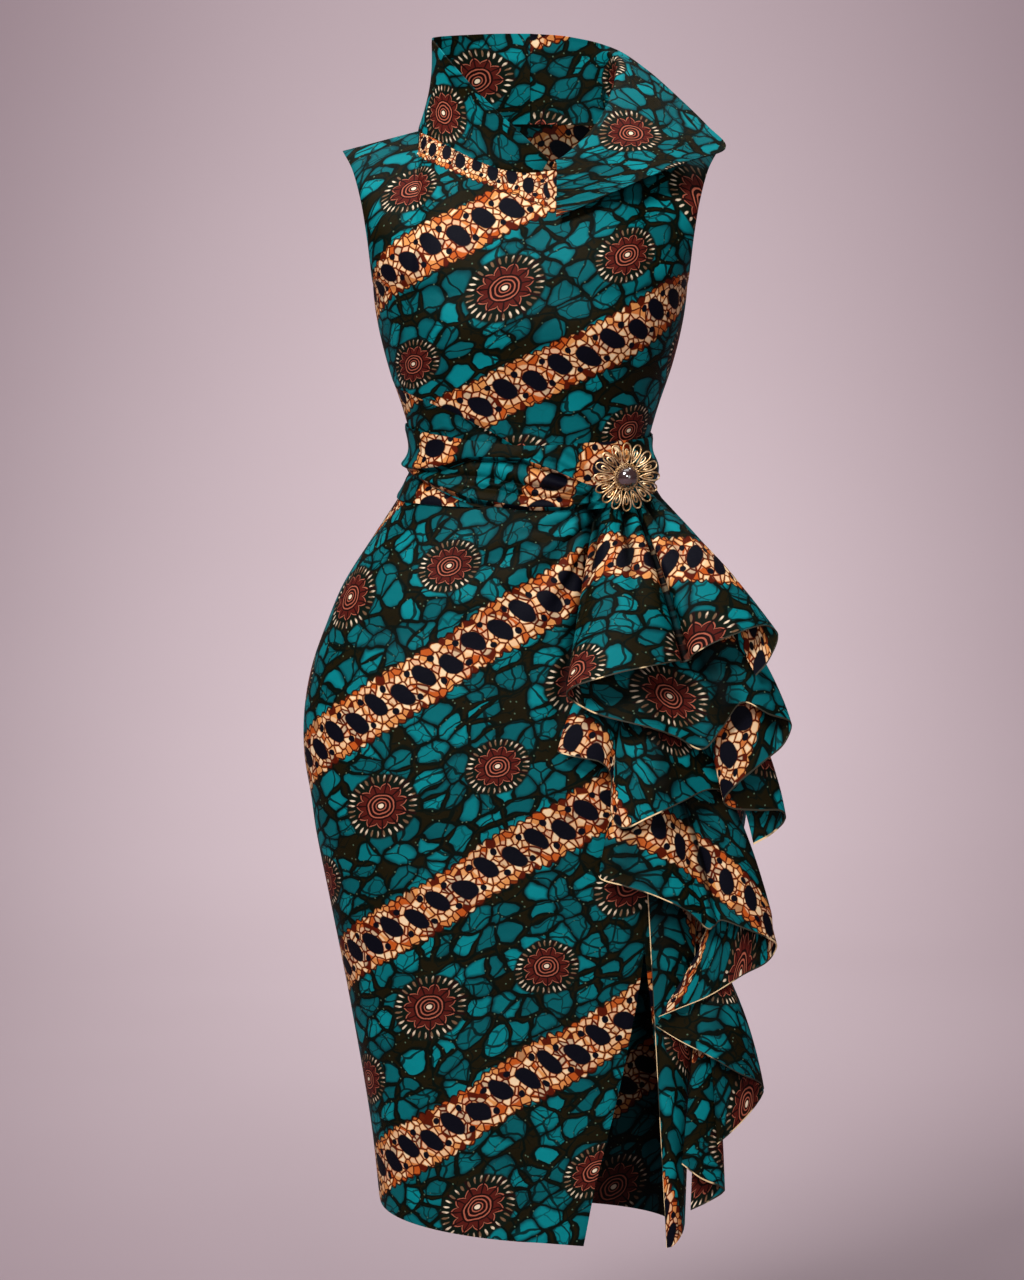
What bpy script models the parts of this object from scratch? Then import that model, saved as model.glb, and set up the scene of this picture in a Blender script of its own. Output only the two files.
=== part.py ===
"""Ankara wax print dress: a sleeveless sheath with a wrapped wing collar, a pleated waist sash, a slit pencil
skirt and a waterfall ruffle under a flower brooch. The origin is midway between the shoulder seams, the front
faces -Y and +Z is up. Sizes and tables are in millimetres, and the meshes are in metres."""

import bpy
import bmesh
import math
import numpy as np
from mathutils import Matrix

MM = 0.001
CLOTH = 1.6  # thickness of a cloth wall
SEAM = 0.3  # gap between pieces at a seam
LAY = CLOTH + SEAM  # from the middle of one wall to the middle of a wall lying on it
SHIELD = 75  # how much wider than the body the surface is that the ruffle's depths are worked out from
BODY_ROUND = 2.5  # exponent of the body's oval sections: 2 is an ellipse, more is squarer

WAIST_Z = -300.0
UNDERARM_Z = -128.0

# Sections of the body, from the hem up: height, half width, depth in front of and behind the side seams
SECTIONS = np.array([
    # z, half_width, front, back
    (-1060, 142, 99, 90),
    (-1005, 146, 100, 92),
    (-932, 154, 102, 96),
    (-813, 174, 106, 104),
    (-720, 192, 110, 113),
    (-654, 205, 113, 121),
    (-618, 210, 115, 126),
    (-581, 216, 116, 131),
    (-550, 217, 116, 133),
    (-518, 214, 116, 133),
    (-487, 207, 115, 131),
    (-454, 195, 113, 127),
    (-422, 182, 111, 121),
    (-402, 171, 109, 115),
    (-379, 156, 106, 107),
    (-356, 141, 102, 98),
    (-333, 126, 97, 88),
    (-316, 116, 94, 81),
    (-300, 111, 92, 77),
    (-280, 112, 92, 76),
    (-245, 121, 98, 80),
    (-202, 135, 110, 87),
    (-160, 145, 122, 92),
    (-128, 149, 120, 95),
    (-90, 150, 114, 97),
], float)

BUST = dict(x=70, z=-165, wide=46, tall=52, out=6)

# Armhole edges from the underarm up to the shoulder tip, in front of and behind the arm
ARMHOLE_FRONT = np.array([
    # x, y, z
    (149, 0, -128),
    (150, -28, -119),
    (152, -45, -100),
    (155, -52, -75),
    (160, -46, -46),
    (168, -27, -18),
    (178, 5, -1),
], float)
ARMHOLE_BACK = np.array([
    # x, y, z
    (149, 0, -128),
    (150, 27, -118),
    (152, 44, -96),
    (156, 50, -66),
    (161, 46, -38),
    (169, 30, -13),
    (178, 5, -1),
], float)

NECK = dict(half_width=106, front=78, back=70, side_z=18, front_drop=36, back_rise=4)
SHOULDER_GAP = 1.0  # each shoulder edge's distance from the seam, which the two walls meet at an angle
CHEST_CURVE = 1.6  # how late the chest turns back towards the shoulder and neck

HEM = dict(left_z=-1012, slit_z=-1041, centre_back_z=-1036, right_z=-1045)

# The slit: the wrap panel's edge and the side panel's edge, which meet above the opening
WRAP_EDGE = np.array([
    # z, x
    (-1060, 47), (-1041, 51), (-979, 63), (-931, 75), (-875, 88), (-823, 98), (-781, 105),
    (-751, 108), (-700, 107), (-600, 106), (-500, 104), (-400, 98), (-333, 90), (-290, 84),
], float)
SIDE_EDGE = np.array([
    # z, x
    (-1060, 134), (-1005, 131), (-965, 130), (-916, 126), (-868, 121), (-816, 116), (-781, 112),
    (-751, 108.6), (-700, 107.6), (-600, 106.6), (-500, 104.6), (-400, 98.6), (-333, 90.6), (-290, 84.6),
], float)

# Soft folds that fan out over the wrap panel from the gathers under the brooch
GATHER = dict(x=84, z=-326)
FAN = dict(folds=4, first=8, last=80, near=85, reach=75, out=5.0)

# The sash's edges: x across the front, height of the upper and of the lower edge
SASH_EDGES = np.array([
    # x, top, bottom
    (-116, -261, -330),
    (-57, -268, -331),
    (0, -273, -333),
    (50, -271, -333),
    (80, -270, -329),
    (100, -270, -320),
    (116, -271, -314),
], float)
SASH = dict(ease=1.2, pleats=5, pleat_out=3.4, side_folds=2, fold_out=2.4, bump=21, bump_wide=25)
BROOCH = dict(x=90, y=-100, z=-302, tilt=15, radius=33, petals=16, core=12, plate=2.2, boss=8, pearl=11)

# The stand collar's left half, from the crossing at the front round to the centre back:
# the angle of its foot on the neckline from the centre front, and its upper edge
COLLAR_LEFT = np.array([
    # angle, x, y, z
    (-6, 17, -88, -5),
    (10, -2, -86, 13),
    (25, -24, -80, 33),
    (42, -50, -68, 58),
    (60, -72, -48, 81),
    (76, -86, -25, 97),
    (92, -93, -2, 105),
    (110, -88, 22, 107),
    (132, -66, 42, 108),
    (156, -34, 56, 109),
    (179.8, -0.3, 60, 109),
], float)
STAND_BOW = 5  # how far the stand's middle bows in towards the neck

# The right half, from the centre back to the front: angle of its foot from the centre back,
# the roll where it turns outward, and its outer edge
COLLAR_RIGHT = np.array([
    # angle, roll x, y, z, edge x, y, z
    (0.2, 0.3, 63, 64, 0.3, 60, 109),
    (28, 40, 61, 74, 38, 56, 106),
    (52, 68, 45, 90, 78, 44, 96),
    (72, 76, 20, 92, 112, 20, 74),
    (88, 75, -4, 82, 142, -4, 48),
    (104, 70, -27, 68, 167, -28, 24),
    (118, 65, -46, 52, 184, -48, 4),
    (130, 60, -60, 39, 150, -70, -7),
    (142, 53, -72, 27, 118, -88, -18),
    (155, 45, -82, 15, 86, -101, -31),
    (165, 35, -90, 4, 52, -110, -46),
    (169, 25, -94, -3, 24, -113, -57),
], float)
ROLL_ROUND = 0.16

# The waterfall ruffle, a strip for each stretch. A row is one rib of the cloth: where it is sewn to the skirt
# (x and height), the point of the free edge that it ends in, how far it swells between the two, and how soon it
# turns down: 0 is straight and 1 runs out level first, then falls
RUFFLE = {
    "ruffle_upper": np.array([
        # sewn_x, sewn_z, edge_x, edge_z, edge_out, swell, fall
        (114, -356, 212, -487, 42, 0, 0.2),
        (118, -343, 224, -473, 48, 2, 0.2),
        (116, -323, 233, -450, 54, 6, 0.15),
        (110, -324, 219, -439, 60, 9, 0.1),
        (105, -327, 192, -445, 62, 12, 0.1),
        (102, -329, 167, -455, 58, 12, 0.1),
        (100, -331, 153, -465, 47, 8, 0.1),
        (98, -332, 147, -471, 40, 4, 0.1),
        (95, -332.5, 137, -470, 50, 8, 0.1),
        (90, -333, 117, -472, 62, 12, 0.1),
        (82, -334, 88, -477, 66, 14, 0.1),
        (73, -336, 60, -485, 62, 11, 0.1),
        (65, -338, 40, -493, 54, 7, 0.1),
        (58, -345, 34, -502, 46, 3, 0.1),
        (59, -357, 47, -513, 38, 0, 0.1),
        (71, -365, 68, -523, 34, 0, 0.1),
        (84, -369, 112, -534, 38, 2, 0.1),
        (93, -372, 137, -544, 32, 0, 0.1),
        (100, -374, 162, -557, 27, 0, 0.1),
        (105, -375, 180, -538, 28, 0, 0.2),
        (110, -374, 199, -513, 33, 2, 0.3),
        (116, -374, 225, -525, 37, 3, 0.45),
        (122, -379, 246, -535, 33, 0, 0.5),
        (123, -389, 240, -555, 28, -2, 0.5),
        (120, -399, 222, -570, 26, 0, 0.45),
        (115, -407, 197, -590, 24, 0, 0.3),
        (113, -419, 183, -607, 20, -2, 0.3),
        (117, -430, 191, -616, 16, -5, 0.4),
        (123, -435, 215, -619, 18, -6, 0.5),
        (129, -439, 237, -621, 18, -6, 0.6),
        (133, -448, 242, -631, 14, -7, 0.6),
        (132, -460, 229, -644, 10, -8, 0.5),
        (127, -470, 212, -653, 8, -8, 0.4),
    ], float),
    "ruffle_middle": np.array([
        # sewn_x, sewn_z, edge_x, edge_z, edge_out, swell, fall
        (96, -470, 58, -555, 8, 0, 0.4),
        (89, -463, 37, -556, 10, 0, 0.4),
        (86, -452, 26, -559, 15, 0, 0.4),
        (91, -444, 45, -564, 20, 2, 0.4),
        (98, -444, 66, -569, 20, 2, 0.4),
        (102, -449, 76, -584, 15, 0, 0.4),
        (104, -455, 76, -616, 17, 0, 0.4),
        (107, -459, 87, -631, 26, 2, 0.4),
        (111, -462, 112, -620, 31, 3, 0.3),
        (115, -464, 142, -607, 25, 2, 0.2),
        (118, -468, 166, -598, 12, -1, 0.2),
        (122, -472, 186, -600, 2, -3, 0.2),
    ], float),
    "ruffle_lower": np.array([
        # sewn_x, sewn_z, edge_x, edge_z, edge_out, swell, fall
        (106, -590, 85, -664, 8, 0, 0.4),
        (100, -583, 69, -673, 11, 0, 0.4),
        (97, -573, 67, -681, 18, 0, 0.5),
        (100, -564, 90, -687, 26, 2, 0.4),
        (106, -562, 118, -696, 30, 3, 0.2),
        (112, -563, 148, -712, 26, 1, 0.2),
        (118, -564, 167, -731, 18, -2, 0.2),
        (125, -565, 174, -729, 16, -4, 0.2),
        (134, -566, 182, -724, 17, -6, 0.2),
        (146, -567, 203, -732, 24, -8, 0.2),
        (160, -571, 224, -742, 26, -8, 0.2),
        (172, -581, 235, -753, 21, -8, 0.2),
        (177, -602, 226, -769, 13, -8, 0.2),
        (175, -640, 203, -780, 9, -5, 0.2),
        (174, -680, 170, -798, 10, -2, 0.1),
        (176, -708, 143, -808, 11, 0, 0.1),
        (178, -728, 122, -816, 11, 0, 0),
    ], float),
    "ruffle_calf": np.array([
        # sewn_x, sewn_z, edge_x, edge_z, edge_out, swell, fall
        (167, -753, 119, -826, 6, 0, 0),
        (170, -748, 142, -841, 7, 0, 0),
        (174, -749, 170, -856, 14, 0, 0.2),
        (177, -755, 200, -875, 22, 2, 0.4),
        (178, -763, 218, -886, 20, 1, 0.4),
        (177, -771, 224, -897, 16, -1, 0.4),
        (174, -779, 216, -911, 13, -3, 0.4),
        (169, -787, 198, -929, 12, -3, 0.3),
        (163, -793, 179, -944, 12, -2, 0.2),
    ], float),
    "ruffle_foot": np.array([
        # sewn_x, sewn_z, edge_x, edge_z, edge_out, swell, fall
        (158, -806, 145, -962, 8, -1, 0),
        (162, -799, 163, -977, 9, -1, 0.2),
        (167, -802, 181, -987, 7, -2, 0.4),
        (168, -812, 186, -994, 2, -4, 0.5),
        (165, -824, 172, -1003, -4, -5, 0.4),
        (160, -834, 154, -1011, -8, -5, 0.2),
    ], float),
    "ruffle_tail": np.array([
        # sewn_x, sewn_z, edge_x, edge_z, edge_out, swell, fall
        (110, -690, 131, -1045, -2, 0, 0),
        (120, -682, 136, -1043, 2, 1, 0),
        (133, -680, 141, -1038, 2, 0, 0),
        (147, -683, 146, -1031, -4, -3, 0),
        (158, -692, 148, -1025, -12, -7, 0),
    ], float),
}
RUFFLE_ROWS = {
    "ruffle_upper": 8,
    "ruffle_middle": 7,
    "ruffle_lower": 7,
    "ruffle_calf": 5,
    "ruffle_foot": 6,
    "ruffle_tail": 8,
}
RUFFLE_CLOTH = 1.5
FLAT_STAND = 0.2  # how much further than a seam's gap a sewn edge stands off the flat panels
SEWN_STAND = {"ruffle_upper": 2}  # the same over the gathers, where the panel is folded


def material(name, colour, roughness, metallic=0.0):
    made = bpy.data.materials.new(name)
    made.use_nodes = True
    shader = made.node_tree.nodes["Principled BSDF"]
    shader.inputs["Base Color"].default_value = (*colour, 1.0)
    shader.inputs["Roughness"].default_value = roughness
    shader.inputs["Metallic"].default_value = metallic
    return made


def eased(at, stops, values):
    """Values between the stops of a table, on a smooth curve. The stops rise."""
    at = min(max(at, stops[0]), stops[-1])
    i = min(int(np.searchsorted(stops, at, side="right")) - 1, len(stops) - 2)
    step = stops[i + 1] - stops[i]
    t = (at - stops[i]) / step
    before, after = max(i - 1, 0), min(i + 2, len(stops) - 1)
    rise = (values[i + 1] - values[before]) / (stops[i + 1] - stops[before]) * step
    fall = (values[after] - values[i]) / (stops[after] - stops[i]) * step
    return (
        (2 * t**3 - 3 * t**2 + 1) * values[i]
        + (t**3 - 2 * t**2 + t) * rise
        + (3 * t**2 - 2 * t**3) * values[i + 1]
        + (t**3 - t**2) * fall
    )


def along(points, t):
    """The point at t, from 0 to 1, on a smooth curve through the rows of a table."""
    return eased(t * (len(points) - 1), np.arange(len(points), dtype=float), points)


def section(z):
    return eased(z, SECTIONS[:, 0], SECTIONS[:, 1:])


def body(angle, z, out=0.0):
    """A point of the body's surface. The angle is 0 at the right side seam, 90 at the centre front and 180 at the
    left side seam, and out moves the point away from the body."""
    half, front, back = section(z)
    c, s = math.cos(math.radians(angle)), math.sin(math.radians(angle))
    depth = front if s >= 0 else back
    power = 2 / BODY_ROUND
    x = half * math.copysign(abs(c) ** power, c)
    y = -depth * math.copysign(abs(s) ** power, s)
    bust = 0.0
    if s > 0 and z > WAIST_Z:
        bust = BUST["out"] * math.exp(
            -(((abs(x) - BUST["x"]) / BUST["wide"]) ** 2) - ((z - BUST["z"]) / BUST["tall"]) ** 2
        )
    across = math.copysign(abs(x / half) ** (BODY_ROUND - 1), x) / half
    ahead = math.copysign(abs(y / depth) ** (BODY_ROUND - 1), y) / depth
    length = math.hypot(across, ahead)
    move = out + bust
    return np.array([x + move * across / length, y + move * ahead / length, z])


def angle_at(x, z):
    """The angle of the front of the body at this x."""
    share = max(-1.0, min(1.0, x / section(z)[0]))
    return math.degrees(math.acos(math.copysign(abs(share) ** (BODY_ROUND / 2), share)))


def shield(x, z):
    """The depth of a smooth surface round the front and right of the hips, a little outside the body."""
    half, front, _ = section(z)
    return -front * max(0.0, 1 - (abs(x) / (half + SHIELD)) ** BODY_ROUND) ** (1 / BODY_ROUND)


def fan_fold(x, z):
    """How far the folds below the gathers lift the wrap panel here."""
    away, down = GATHER["x"] - x, GATHER["z"] - z
    radius = math.hypot(away, down)
    turn = math.degrees(math.atan2(down, away))
    share = (turn - FAN["first"]) / (FAN["last"] - FAN["first"])
    if not 0 < share < 1:
        return 0.0
    height = FAN["out"] * math.exp(-(((radius - FAN["near"]) / FAN["reach"]) ** 2)) * min(1.0, radius / 40)
    return height * math.sin(math.pi * share) ** 0.5 * (0.5 - 0.5 * math.cos(2 * math.pi * FAN["folds"] * share))


def neckline(turn):
    """The neck seam. The turn is 0 at the centre front, 90 at the right shoulder and 180 at the centre back."""
    c, s = math.cos(math.radians(turn)), math.sin(math.radians(turn))
    if c > 0:
        depth, z = -NECK["front"] * c, NECK["side_z"] - NECK["front_drop"] * c**3
    else:
        depth, z = -NECK["back"] * c, NECK["side_z"] + NECK["back_rise"] * c**2
    return np.array([NECK["half_width"] * s, depth, z])


def upper_bodice(side, u, v):
    """The bodice above the underarm line: u runs from the left armhole to the right one, and v from the underarm
    line up to the shoulders and neck. The side is 1 for the front and -1 for the back."""
    armhole = ARMHOLE_FRONT if side > 0 else ARMHOLE_BACK

    def chest(u):
        return body(side * 180 * (1 - u), UNDERARM_Z)

    def top(u):
        across = 2 * u - 1
        apart = np.array([0, side * SHOULDER_GAP * min(1.0, max(0.0, abs(across) - 0.45) / 0.05), 0])
        if abs(across) < 0.5:
            return neckline(180 * across if side > 0 else 180 - 180 * across) - apart
        inner, tip = neckline(90), armhole[-1]
        point = inner + (tip - inner) * (abs(across) - 0.5) / 0.5
        return point * [math.copysign(1, across), 1, 1] - apart

    def edge(v, sign):
        return along(armhole, v) * [sign, 1, 1] - [0, side * SHOULDER_GAP * v, 0]

    v_share = np.array([v, v**CHEST_CURVE, v])
    left, right = edge(v, -1), edge(v, 1)
    straight_left = (1 - v_share) * chest(0) + v_share * top(0)
    straight_right = (1 - v_share) * chest(1) + v_share * top(1)
    reach_left, reach_right = max(0.0, 1 - 2 * u) ** 1.5, max(0.0, 2 * u - 1) ** 1.5
    point = (1 - v_share) * chest(u) + v_share * top(u)
    return point + reach_left * (left - straight_left) + reach_right * (right - straight_right)


def bodice(side, u, v):
    """The whole bodice wall: v below 0 runs down from the underarm line to the waist, and above 0 up to the top."""
    if v >= 0:
        return upper_bodice(side, u, v)
    return body(side * 180 * (1 - u), UNDERARM_Z + v * (UNDERARM_Z - WAIST_Z))


def wall(name, surface, columns, rows, finish, thickness=CLOTH):
    """A cloth wall: half its thickness on each side of a surface that is a function of column and row."""
    tiny = 1e-3
    middle = np.array([[surface(u, v) for u in columns] for v in rows])
    wide = np.array([[surface(u + tiny, v) - surface(u - tiny, v) for u in columns] for v in rows])
    tall = np.array([[surface(u, v + tiny) - surface(u, v - tiny) for u in columns] for v in rows])
    normal = np.cross(wide, tall)
    normal /= np.maximum(np.linalg.norm(normal, axis=2, keepdims=True), 1e-12)
    return wall_of(name, middle, normal, finish, thickness)


def wall_of(name, middle, normal, finish, thickness=CLOTH):
    """Joins the outer and inner points of a wall, row by row, and closes its four edges."""
    count_v, count_u = middle.shape[:2]
    points = np.concatenate([
        (middle + normal * thickness / 2).reshape(-1, 3),
        (middle - normal * thickness / 2).reshape(-1, 3),
    ])
    inside = count_u * count_v
    faces = []
    for j in range(count_v - 1):
        for i in range(count_u - 1):
            a, b, c, d = j * count_u + i, j * count_u + i + 1, (j + 1) * count_u + i + 1, (j + 1) * count_u + i
            faces.append((a, b, c, d))
            faces.append((inside + d, inside + c, inside + b, inside + a))
    rim = (
        [i for i in range(count_u)]
        + [j * count_u + count_u - 1 for j in range(1, count_v)]
        + [(count_v - 1) * count_u + i for i in range(count_u - 2, -1, -1)]
        + [j * count_u for j in range(count_v - 2, 0, -1)]
    )
    for here, there in zip(rim, rim[1:] + rim[:1]):
        faces.append((there, here, inside + here, inside + there))
    mesh = bpy.data.meshes.new(name)
    mesh.from_pydata((points * MM).tolist(), [], faces)
    made = bpy.data.objects.new(name, mesh)
    DRESS.objects.link(made)
    mesh.materials.append(finish)
    shape = bmesh.new()
    shape.from_mesh(mesh)
    bmesh.ops.recalc_face_normals(shape, faces=shape.faces)
    bmesh.ops.triangulate(shape, faces=shape.faces, quad_method="SHORT_EDGE")
    shape.to_mesh(mesh)
    shape.free()
    return made


def make_bodice(cloth):
    low = np.linspace(-1, 0, 7)[:-1]
    high = np.linspace(0, 1, 8)
    rows = np.concatenate([low, high])
    wall("bodice_front", lambda u, v: bodice(1, u, v), np.linspace(0, 1, 25), rows, cloth)
    half_seam = 0.0006
    for name, first, last in (
        ("bodice_back_left", 0.0, 0.5 - half_seam),
        ("bodice_back_right", 0.5 + half_seam, 1.0),
    ):
        wall(name, lambda u, v: bodice(-1, u, v) + [0, SEAM, 0], np.linspace(first, last, 11), rows, cloth)


def make_skirt(cloth):
    levels = np.concatenate([np.linspace(0, 0.08, 5), np.linspace(0.08, 0.4, 10)[1:], np.linspace(0.4, 1, 9)[1:]])

    def panel(name, start, end, hem_start, hem_end, columns, lift):
        def surface(u, v):
            hem = hem_start + (hem_end - hem_start) * u
            z = WAIST_Z - SEAM + (hem - WAIST_Z + SEAM) * v
            angle = start(z) + (end(z) - start(z)) * u
            point = body(angle, z)
            return body(angle, z, lift(point[0], z))

        wall(name, surface, columns, levels, cloth)

    def wrap_edge(z):
        return angle_at(eased(z, WRAP_EDGE[:, 0], WRAP_EDGE[:, 1]), z)

    def side_edge(z):
        return angle_at(eased(z, SIDE_EDGE[:, 0], SIDE_EDGE[:, 1]), z)

    def flat(x, z):
        return 0.0

    close_columns = 1 - np.linspace(1, 0, 21) ** 1.25
    panel("skirt_front", lambda z: 179.97, wrap_edge, HEM["left_z"], HEM["slit_z"], close_columns, fan_fold)
    panel("skirt_side", side_edge, lambda z: 0.03, HEM["right_z"], HEM["right_z"], np.linspace(0, 1, 8), flat)
    back_half = np.linspace(0, 1, 10)
    panel("skirt_back_left", lambda z: -179.97, lambda z: -90.1, HEM["left_z"], HEM["centre_back_z"], back_half, flat)
    panel("skirt_back_right", lambda z: -89.9, lambda z: -0.03, HEM["centre_back_z"], HEM["right_z"], back_half, flat)


def sash_surface(u, v, pleated=True):
    """The sash over the front: u from the left side seam to the right one, v from its lower edge to its upper."""
    angle = 180 * (1 - u)
    x = body(angle, WAIST_Z)[0]
    top, bottom = eased(x, SASH_EDGES[:, 0], SASH_EDGES[:, 1:])
    z = bottom + (top - bottom) * v
    out = LAY + SASH["ease"]
    if pleated:
        gathered = min(1.0, max(0.0, (u - 0.08) / 0.4))
        out += SASH["pleat_out"] * gathered * abs(math.sin(math.pi * SASH["pleats"] * v))
        out += SASH["fold_out"] * (1 - gathered) * abs(math.sin(math.pi * SASH["side_folds"] * v)) ** 0.5
        away = ((x - BROOCH["x"]) ** 2 + (z - BROOCH["z"]) ** 2) / SASH["bump_wide"] ** 2
        out += SASH["bump"] * math.exp(-away) * min(1.0, (1 - u) * 9) * math.sin(math.pi * min(max(v, 0), 1)) ** 0.6
    return body(angle, z, out)


def make_sash(cloth):
    rows = np.linspace(0, 1, 3 * SASH["pleats"] + 1)
    wall("sash_front", sash_surface, np.linspace(0, 1, 25), rows, cloth)

    def back(u, v):
        angle = -180 * (1 - u)
        edge = SASH_EDGES[0] + (SASH_EDGES[-1] - SASH_EDGES[0]) * u
        z = edge[2] + (edge[1] - edge[2]) * v
        return body(angle, z, LAY + SASH["ease"]) + [0, SEAM, 0]

    for name, first, last in (("sash_back_left", 0.0, 0.4994), ("sash_back_right", 0.5006, 1.0)):
        wall(name, back, np.linspace(first, last, 11), np.linspace(0, 1, 5), cloth)


def make_collar(cloth):
    foot_lift = np.array([0, 0, CLOTH / 2 + 0.7])

    def left(u, v):
        row = along(COLLAR_LEFT, u)
        foot = neckline(-row[0]) + foot_lift
        bow = -STAND_BOW * math.sin(math.pi * v) * np.array([foot[0], foot[1], 0]) / NECK["half_width"]
        return foot + (row[1:] - foot) * v + bow * min(1.0, row[0] / 60 + 0.1)

    def right(u, v):
        row = along(COLLAR_RIGHT, u)
        foot, roll, edge = neckline(180 - row[0]) + foot_lift, row[1:4], row[4:]
        if v < 0.5 - ROLL_ROUND:
            return foot + (roll - foot) * v / 0.5
        if v > 0.5 + ROLL_ROUND:
            return roll + (edge - roll) * (v - 0.5) / 0.5
        start = foot + (roll - foot) * (0.5 - ROLL_ROUND) / 0.5
        end = roll + (edge - roll) * ROLL_ROUND / 0.5
        t = (v - 0.5 + ROLL_ROUND) / (2 * ROLL_ROUND)
        return (1 - t) ** 2 * start + 2 * t * (1 - t) * roll + t**2 * end

    wall("collar_left", left, np.linspace(0, 1, 17), np.linspace(0, 1, 6), cloth)
    wall("collar_right", right, np.linspace(0, 1, 24), np.linspace(0, 1, 11), cloth)


def make_ruffle(cloth):
    for name, ribs in RUFFLE.items():
        def surface(u, v, ribs=ribs, stand=SEWN_STAND.get(name, FLAT_STAND)):
            sewn_x, sewn_z, edge_x, edge_z, edge_out, swell, fall = along(ribs, u)
            sewn = body(angle_at(sewn_x, sewn_z), sewn_z, LAY + stand + fan_fold(sewn_x, sewn_z))
            turn = math.pi / 2 * v
            x = sewn[0] + (edge_x - sewn[0]) * ((1 - fall) * v + fall * math.sin(turn))
            z = sewn[2] + (edge_z - sewn[2]) * ((1 - fall) * v + fall * (1 - math.cos(turn)))
            sewn_out = shield(sewn[0], sewn[2]) - sewn[1]
            out = sewn_out * max(0.0, 1 - v) ** 4 + edge_out * v + swell * math.sin(math.pi * v)
            return np.array([x, shield(x, z) - out, z])

        columns = np.linspace(0, 1, 2 * (len(ribs) - 1) + 1)
        wall(name, surface, columns, np.linspace(0, 1, RUFFLE_ROWS[name]), cloth, RUFFLE_CLOTH)


def make_brooch(gold, pearl):
    """An open flower: one flat plate with a looped outline and a hole in each petal, on a boss that is pinned to
    the sash, and a domed pearl."""
    facing = np.array([math.sin(math.radians(BROOCH["tilt"])), -math.cos(math.radians(BROOCH["tilt"])), 0])
    centre = np.array([BROOCH["x"], BROOCH["y"], BROOCH["z"]])
    sash = bpy.data.objects["sash_front"].data
    ends = [[np.array(sash.vertices[i].co) / MM - centre for i in edge.vertices] for edge in sash.edges]
    points = [a + (b - a) * t for a, b in ends for t in np.linspace(0, 1, 9)]

    def reach(radius):
        """How far the sash comes out behind the part of the brooch within this radius."""
        return max(facing @ p for p in points if np.linalg.norm(p - facing * (facing @ p)) < radius)

    boss_radius = BROOCH["core"] - 2
    seat = reach(boss_radius) + SEAM
    boss_length = max(BROOCH["boss"], reach(BROOCH["radius"] + 3) + SEAM - seat)
    step = 2 * math.pi / BROOCH["petals"]
    curve = bpy.data.curves.new("brooch_outline", "CURVE")
    curve.dimensions = "2D"
    curve.fill_mode = "BOTH"
    curve.extrude = BROOCH["plate"] / 2 * MM

    def ring(points):
        line = curve.splines.new("POLY")
        line.points.add(len(points) - 1)
        for made, (x, y) in zip(line.points, points):
            made.co = (x * MM, y * MM, 0, 1)
        line.use_cyclic_u = True

    def petal_point(k, radius, aside):
        angle = k * step
        return (
            radius * math.cos(angle) - aside * math.sin(angle),
            radius * math.sin(angle) + aside * math.cos(angle),
        )

    outline = [
        petal_point(k, r, a)
        for k in range(BROOCH["petals"])
        for r, a in ((22, -4.3), (27, -5.0), (31.5, -3.6), (BROOCH["radius"], 0), (31.5, 3.6), (27, 5.0))
    ]
    ring(outline)
    for k in range(BROOCH["petals"]):
        ring([petal_point(k, r, a) for r, a in ((16.5, 0), (22, -1.9), (27, -2.9), (30.6, 0), (27, 2.9), (22, 1.9))])
    flat_flower = bpy.data.objects.new("brooch_outline", curve)
    DRESS.objects.link(flat_flower)
    bpy.context.view_layer.update()
    mesh = bpy.data.meshes.new_from_object(flat_flower.evaluated_get(bpy.context.evaluated_depsgraph_get()))
    bpy.data.objects.remove(flat_flower)
    flower = bpy.data.objects.new("brooch_flower", mesh)
    DRESS.objects.link(flower)
    shape = bmesh.new()
    shape.from_mesh(mesh)
    bmesh.ops.remove_doubles(shape, verts=shape.verts, dist=1e-6)
    bmesh.ops.recalc_face_normals(shape, faces=shape.faces)
    shape.to_mesh(mesh)
    shape.free()

    def disc(name, radius, length, middle, sides):
        bpy.ops.mesh.primitive_cylinder_add(vertices=sides, radius=radius * MM, depth=length * MM)
        made = bpy.context.object
        made.name = name
        made.data.transform(Matrix.Translation((0, 0, middle * MM)))
        for collection in list(made.users_collection):
            collection.objects.unlink(made)
        return made

    boss = disc("brooch_boss", boss_radius, boss_length, BROOCH["plate"] / 2 - 0.2 - boss_length / 2, 16)
    CUTTERS.objects.link(boss)
    boss.hide_render = True
    boss.display_type = "WIRE"
    join = flower.modifiers.new("boss", "BOOLEAN")
    join.operation = "UNION"
    join.object = boss
    flower.data.materials.clear()
    flower.data.materials.append(gold)
    bpy.ops.mesh.primitive_uv_sphere_add(segments=16, ring_count=10, radius=BROOCH["pearl"] * MM)
    dome = bpy.context.object
    dome.name = "brooch_pearl"
    shape = bmesh.new()
    shape.from_mesh(dome.data)
    bmesh.ops.bisect_plane(
        shape, geom=shape.verts[:] + shape.edges[:] + shape.faces[:], plane_co=(0, 0, 1 * MM), plane_no=(0, 0, -1),
        clear_outer=True,
    )
    bmesh.ops.holes_fill(shape, edges=[e for e in shape.edges if e.is_boundary])
    bmesh.ops.recalc_face_normals(shape, faces=shape.faces)
    shape.to_mesh(dome.data)
    shape.free()
    dome.data.materials.append(pearl)
    for collection in list(dome.users_collection):
        collection.objects.unlink(dome)
    DRESS.objects.link(dome)
    middle = centre + facing * (seat + boss_length - BROOCH["plate"] / 2 + 0.2)
    stand = Matrix.Translation(middle * MM) @ Matrix.Rotation(math.radians(BROOCH["tilt"]), 4, "Z") @ Matrix.Rotation(
        math.radians(90), 4, "X"
    )
    flower.matrix_world = stand
    boss.matrix_world = stand
    dome.matrix_world = stand @ Matrix.Translation((0, 0, (BROOCH["plate"] / 2 + SEAM - 1) * MM))


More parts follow.
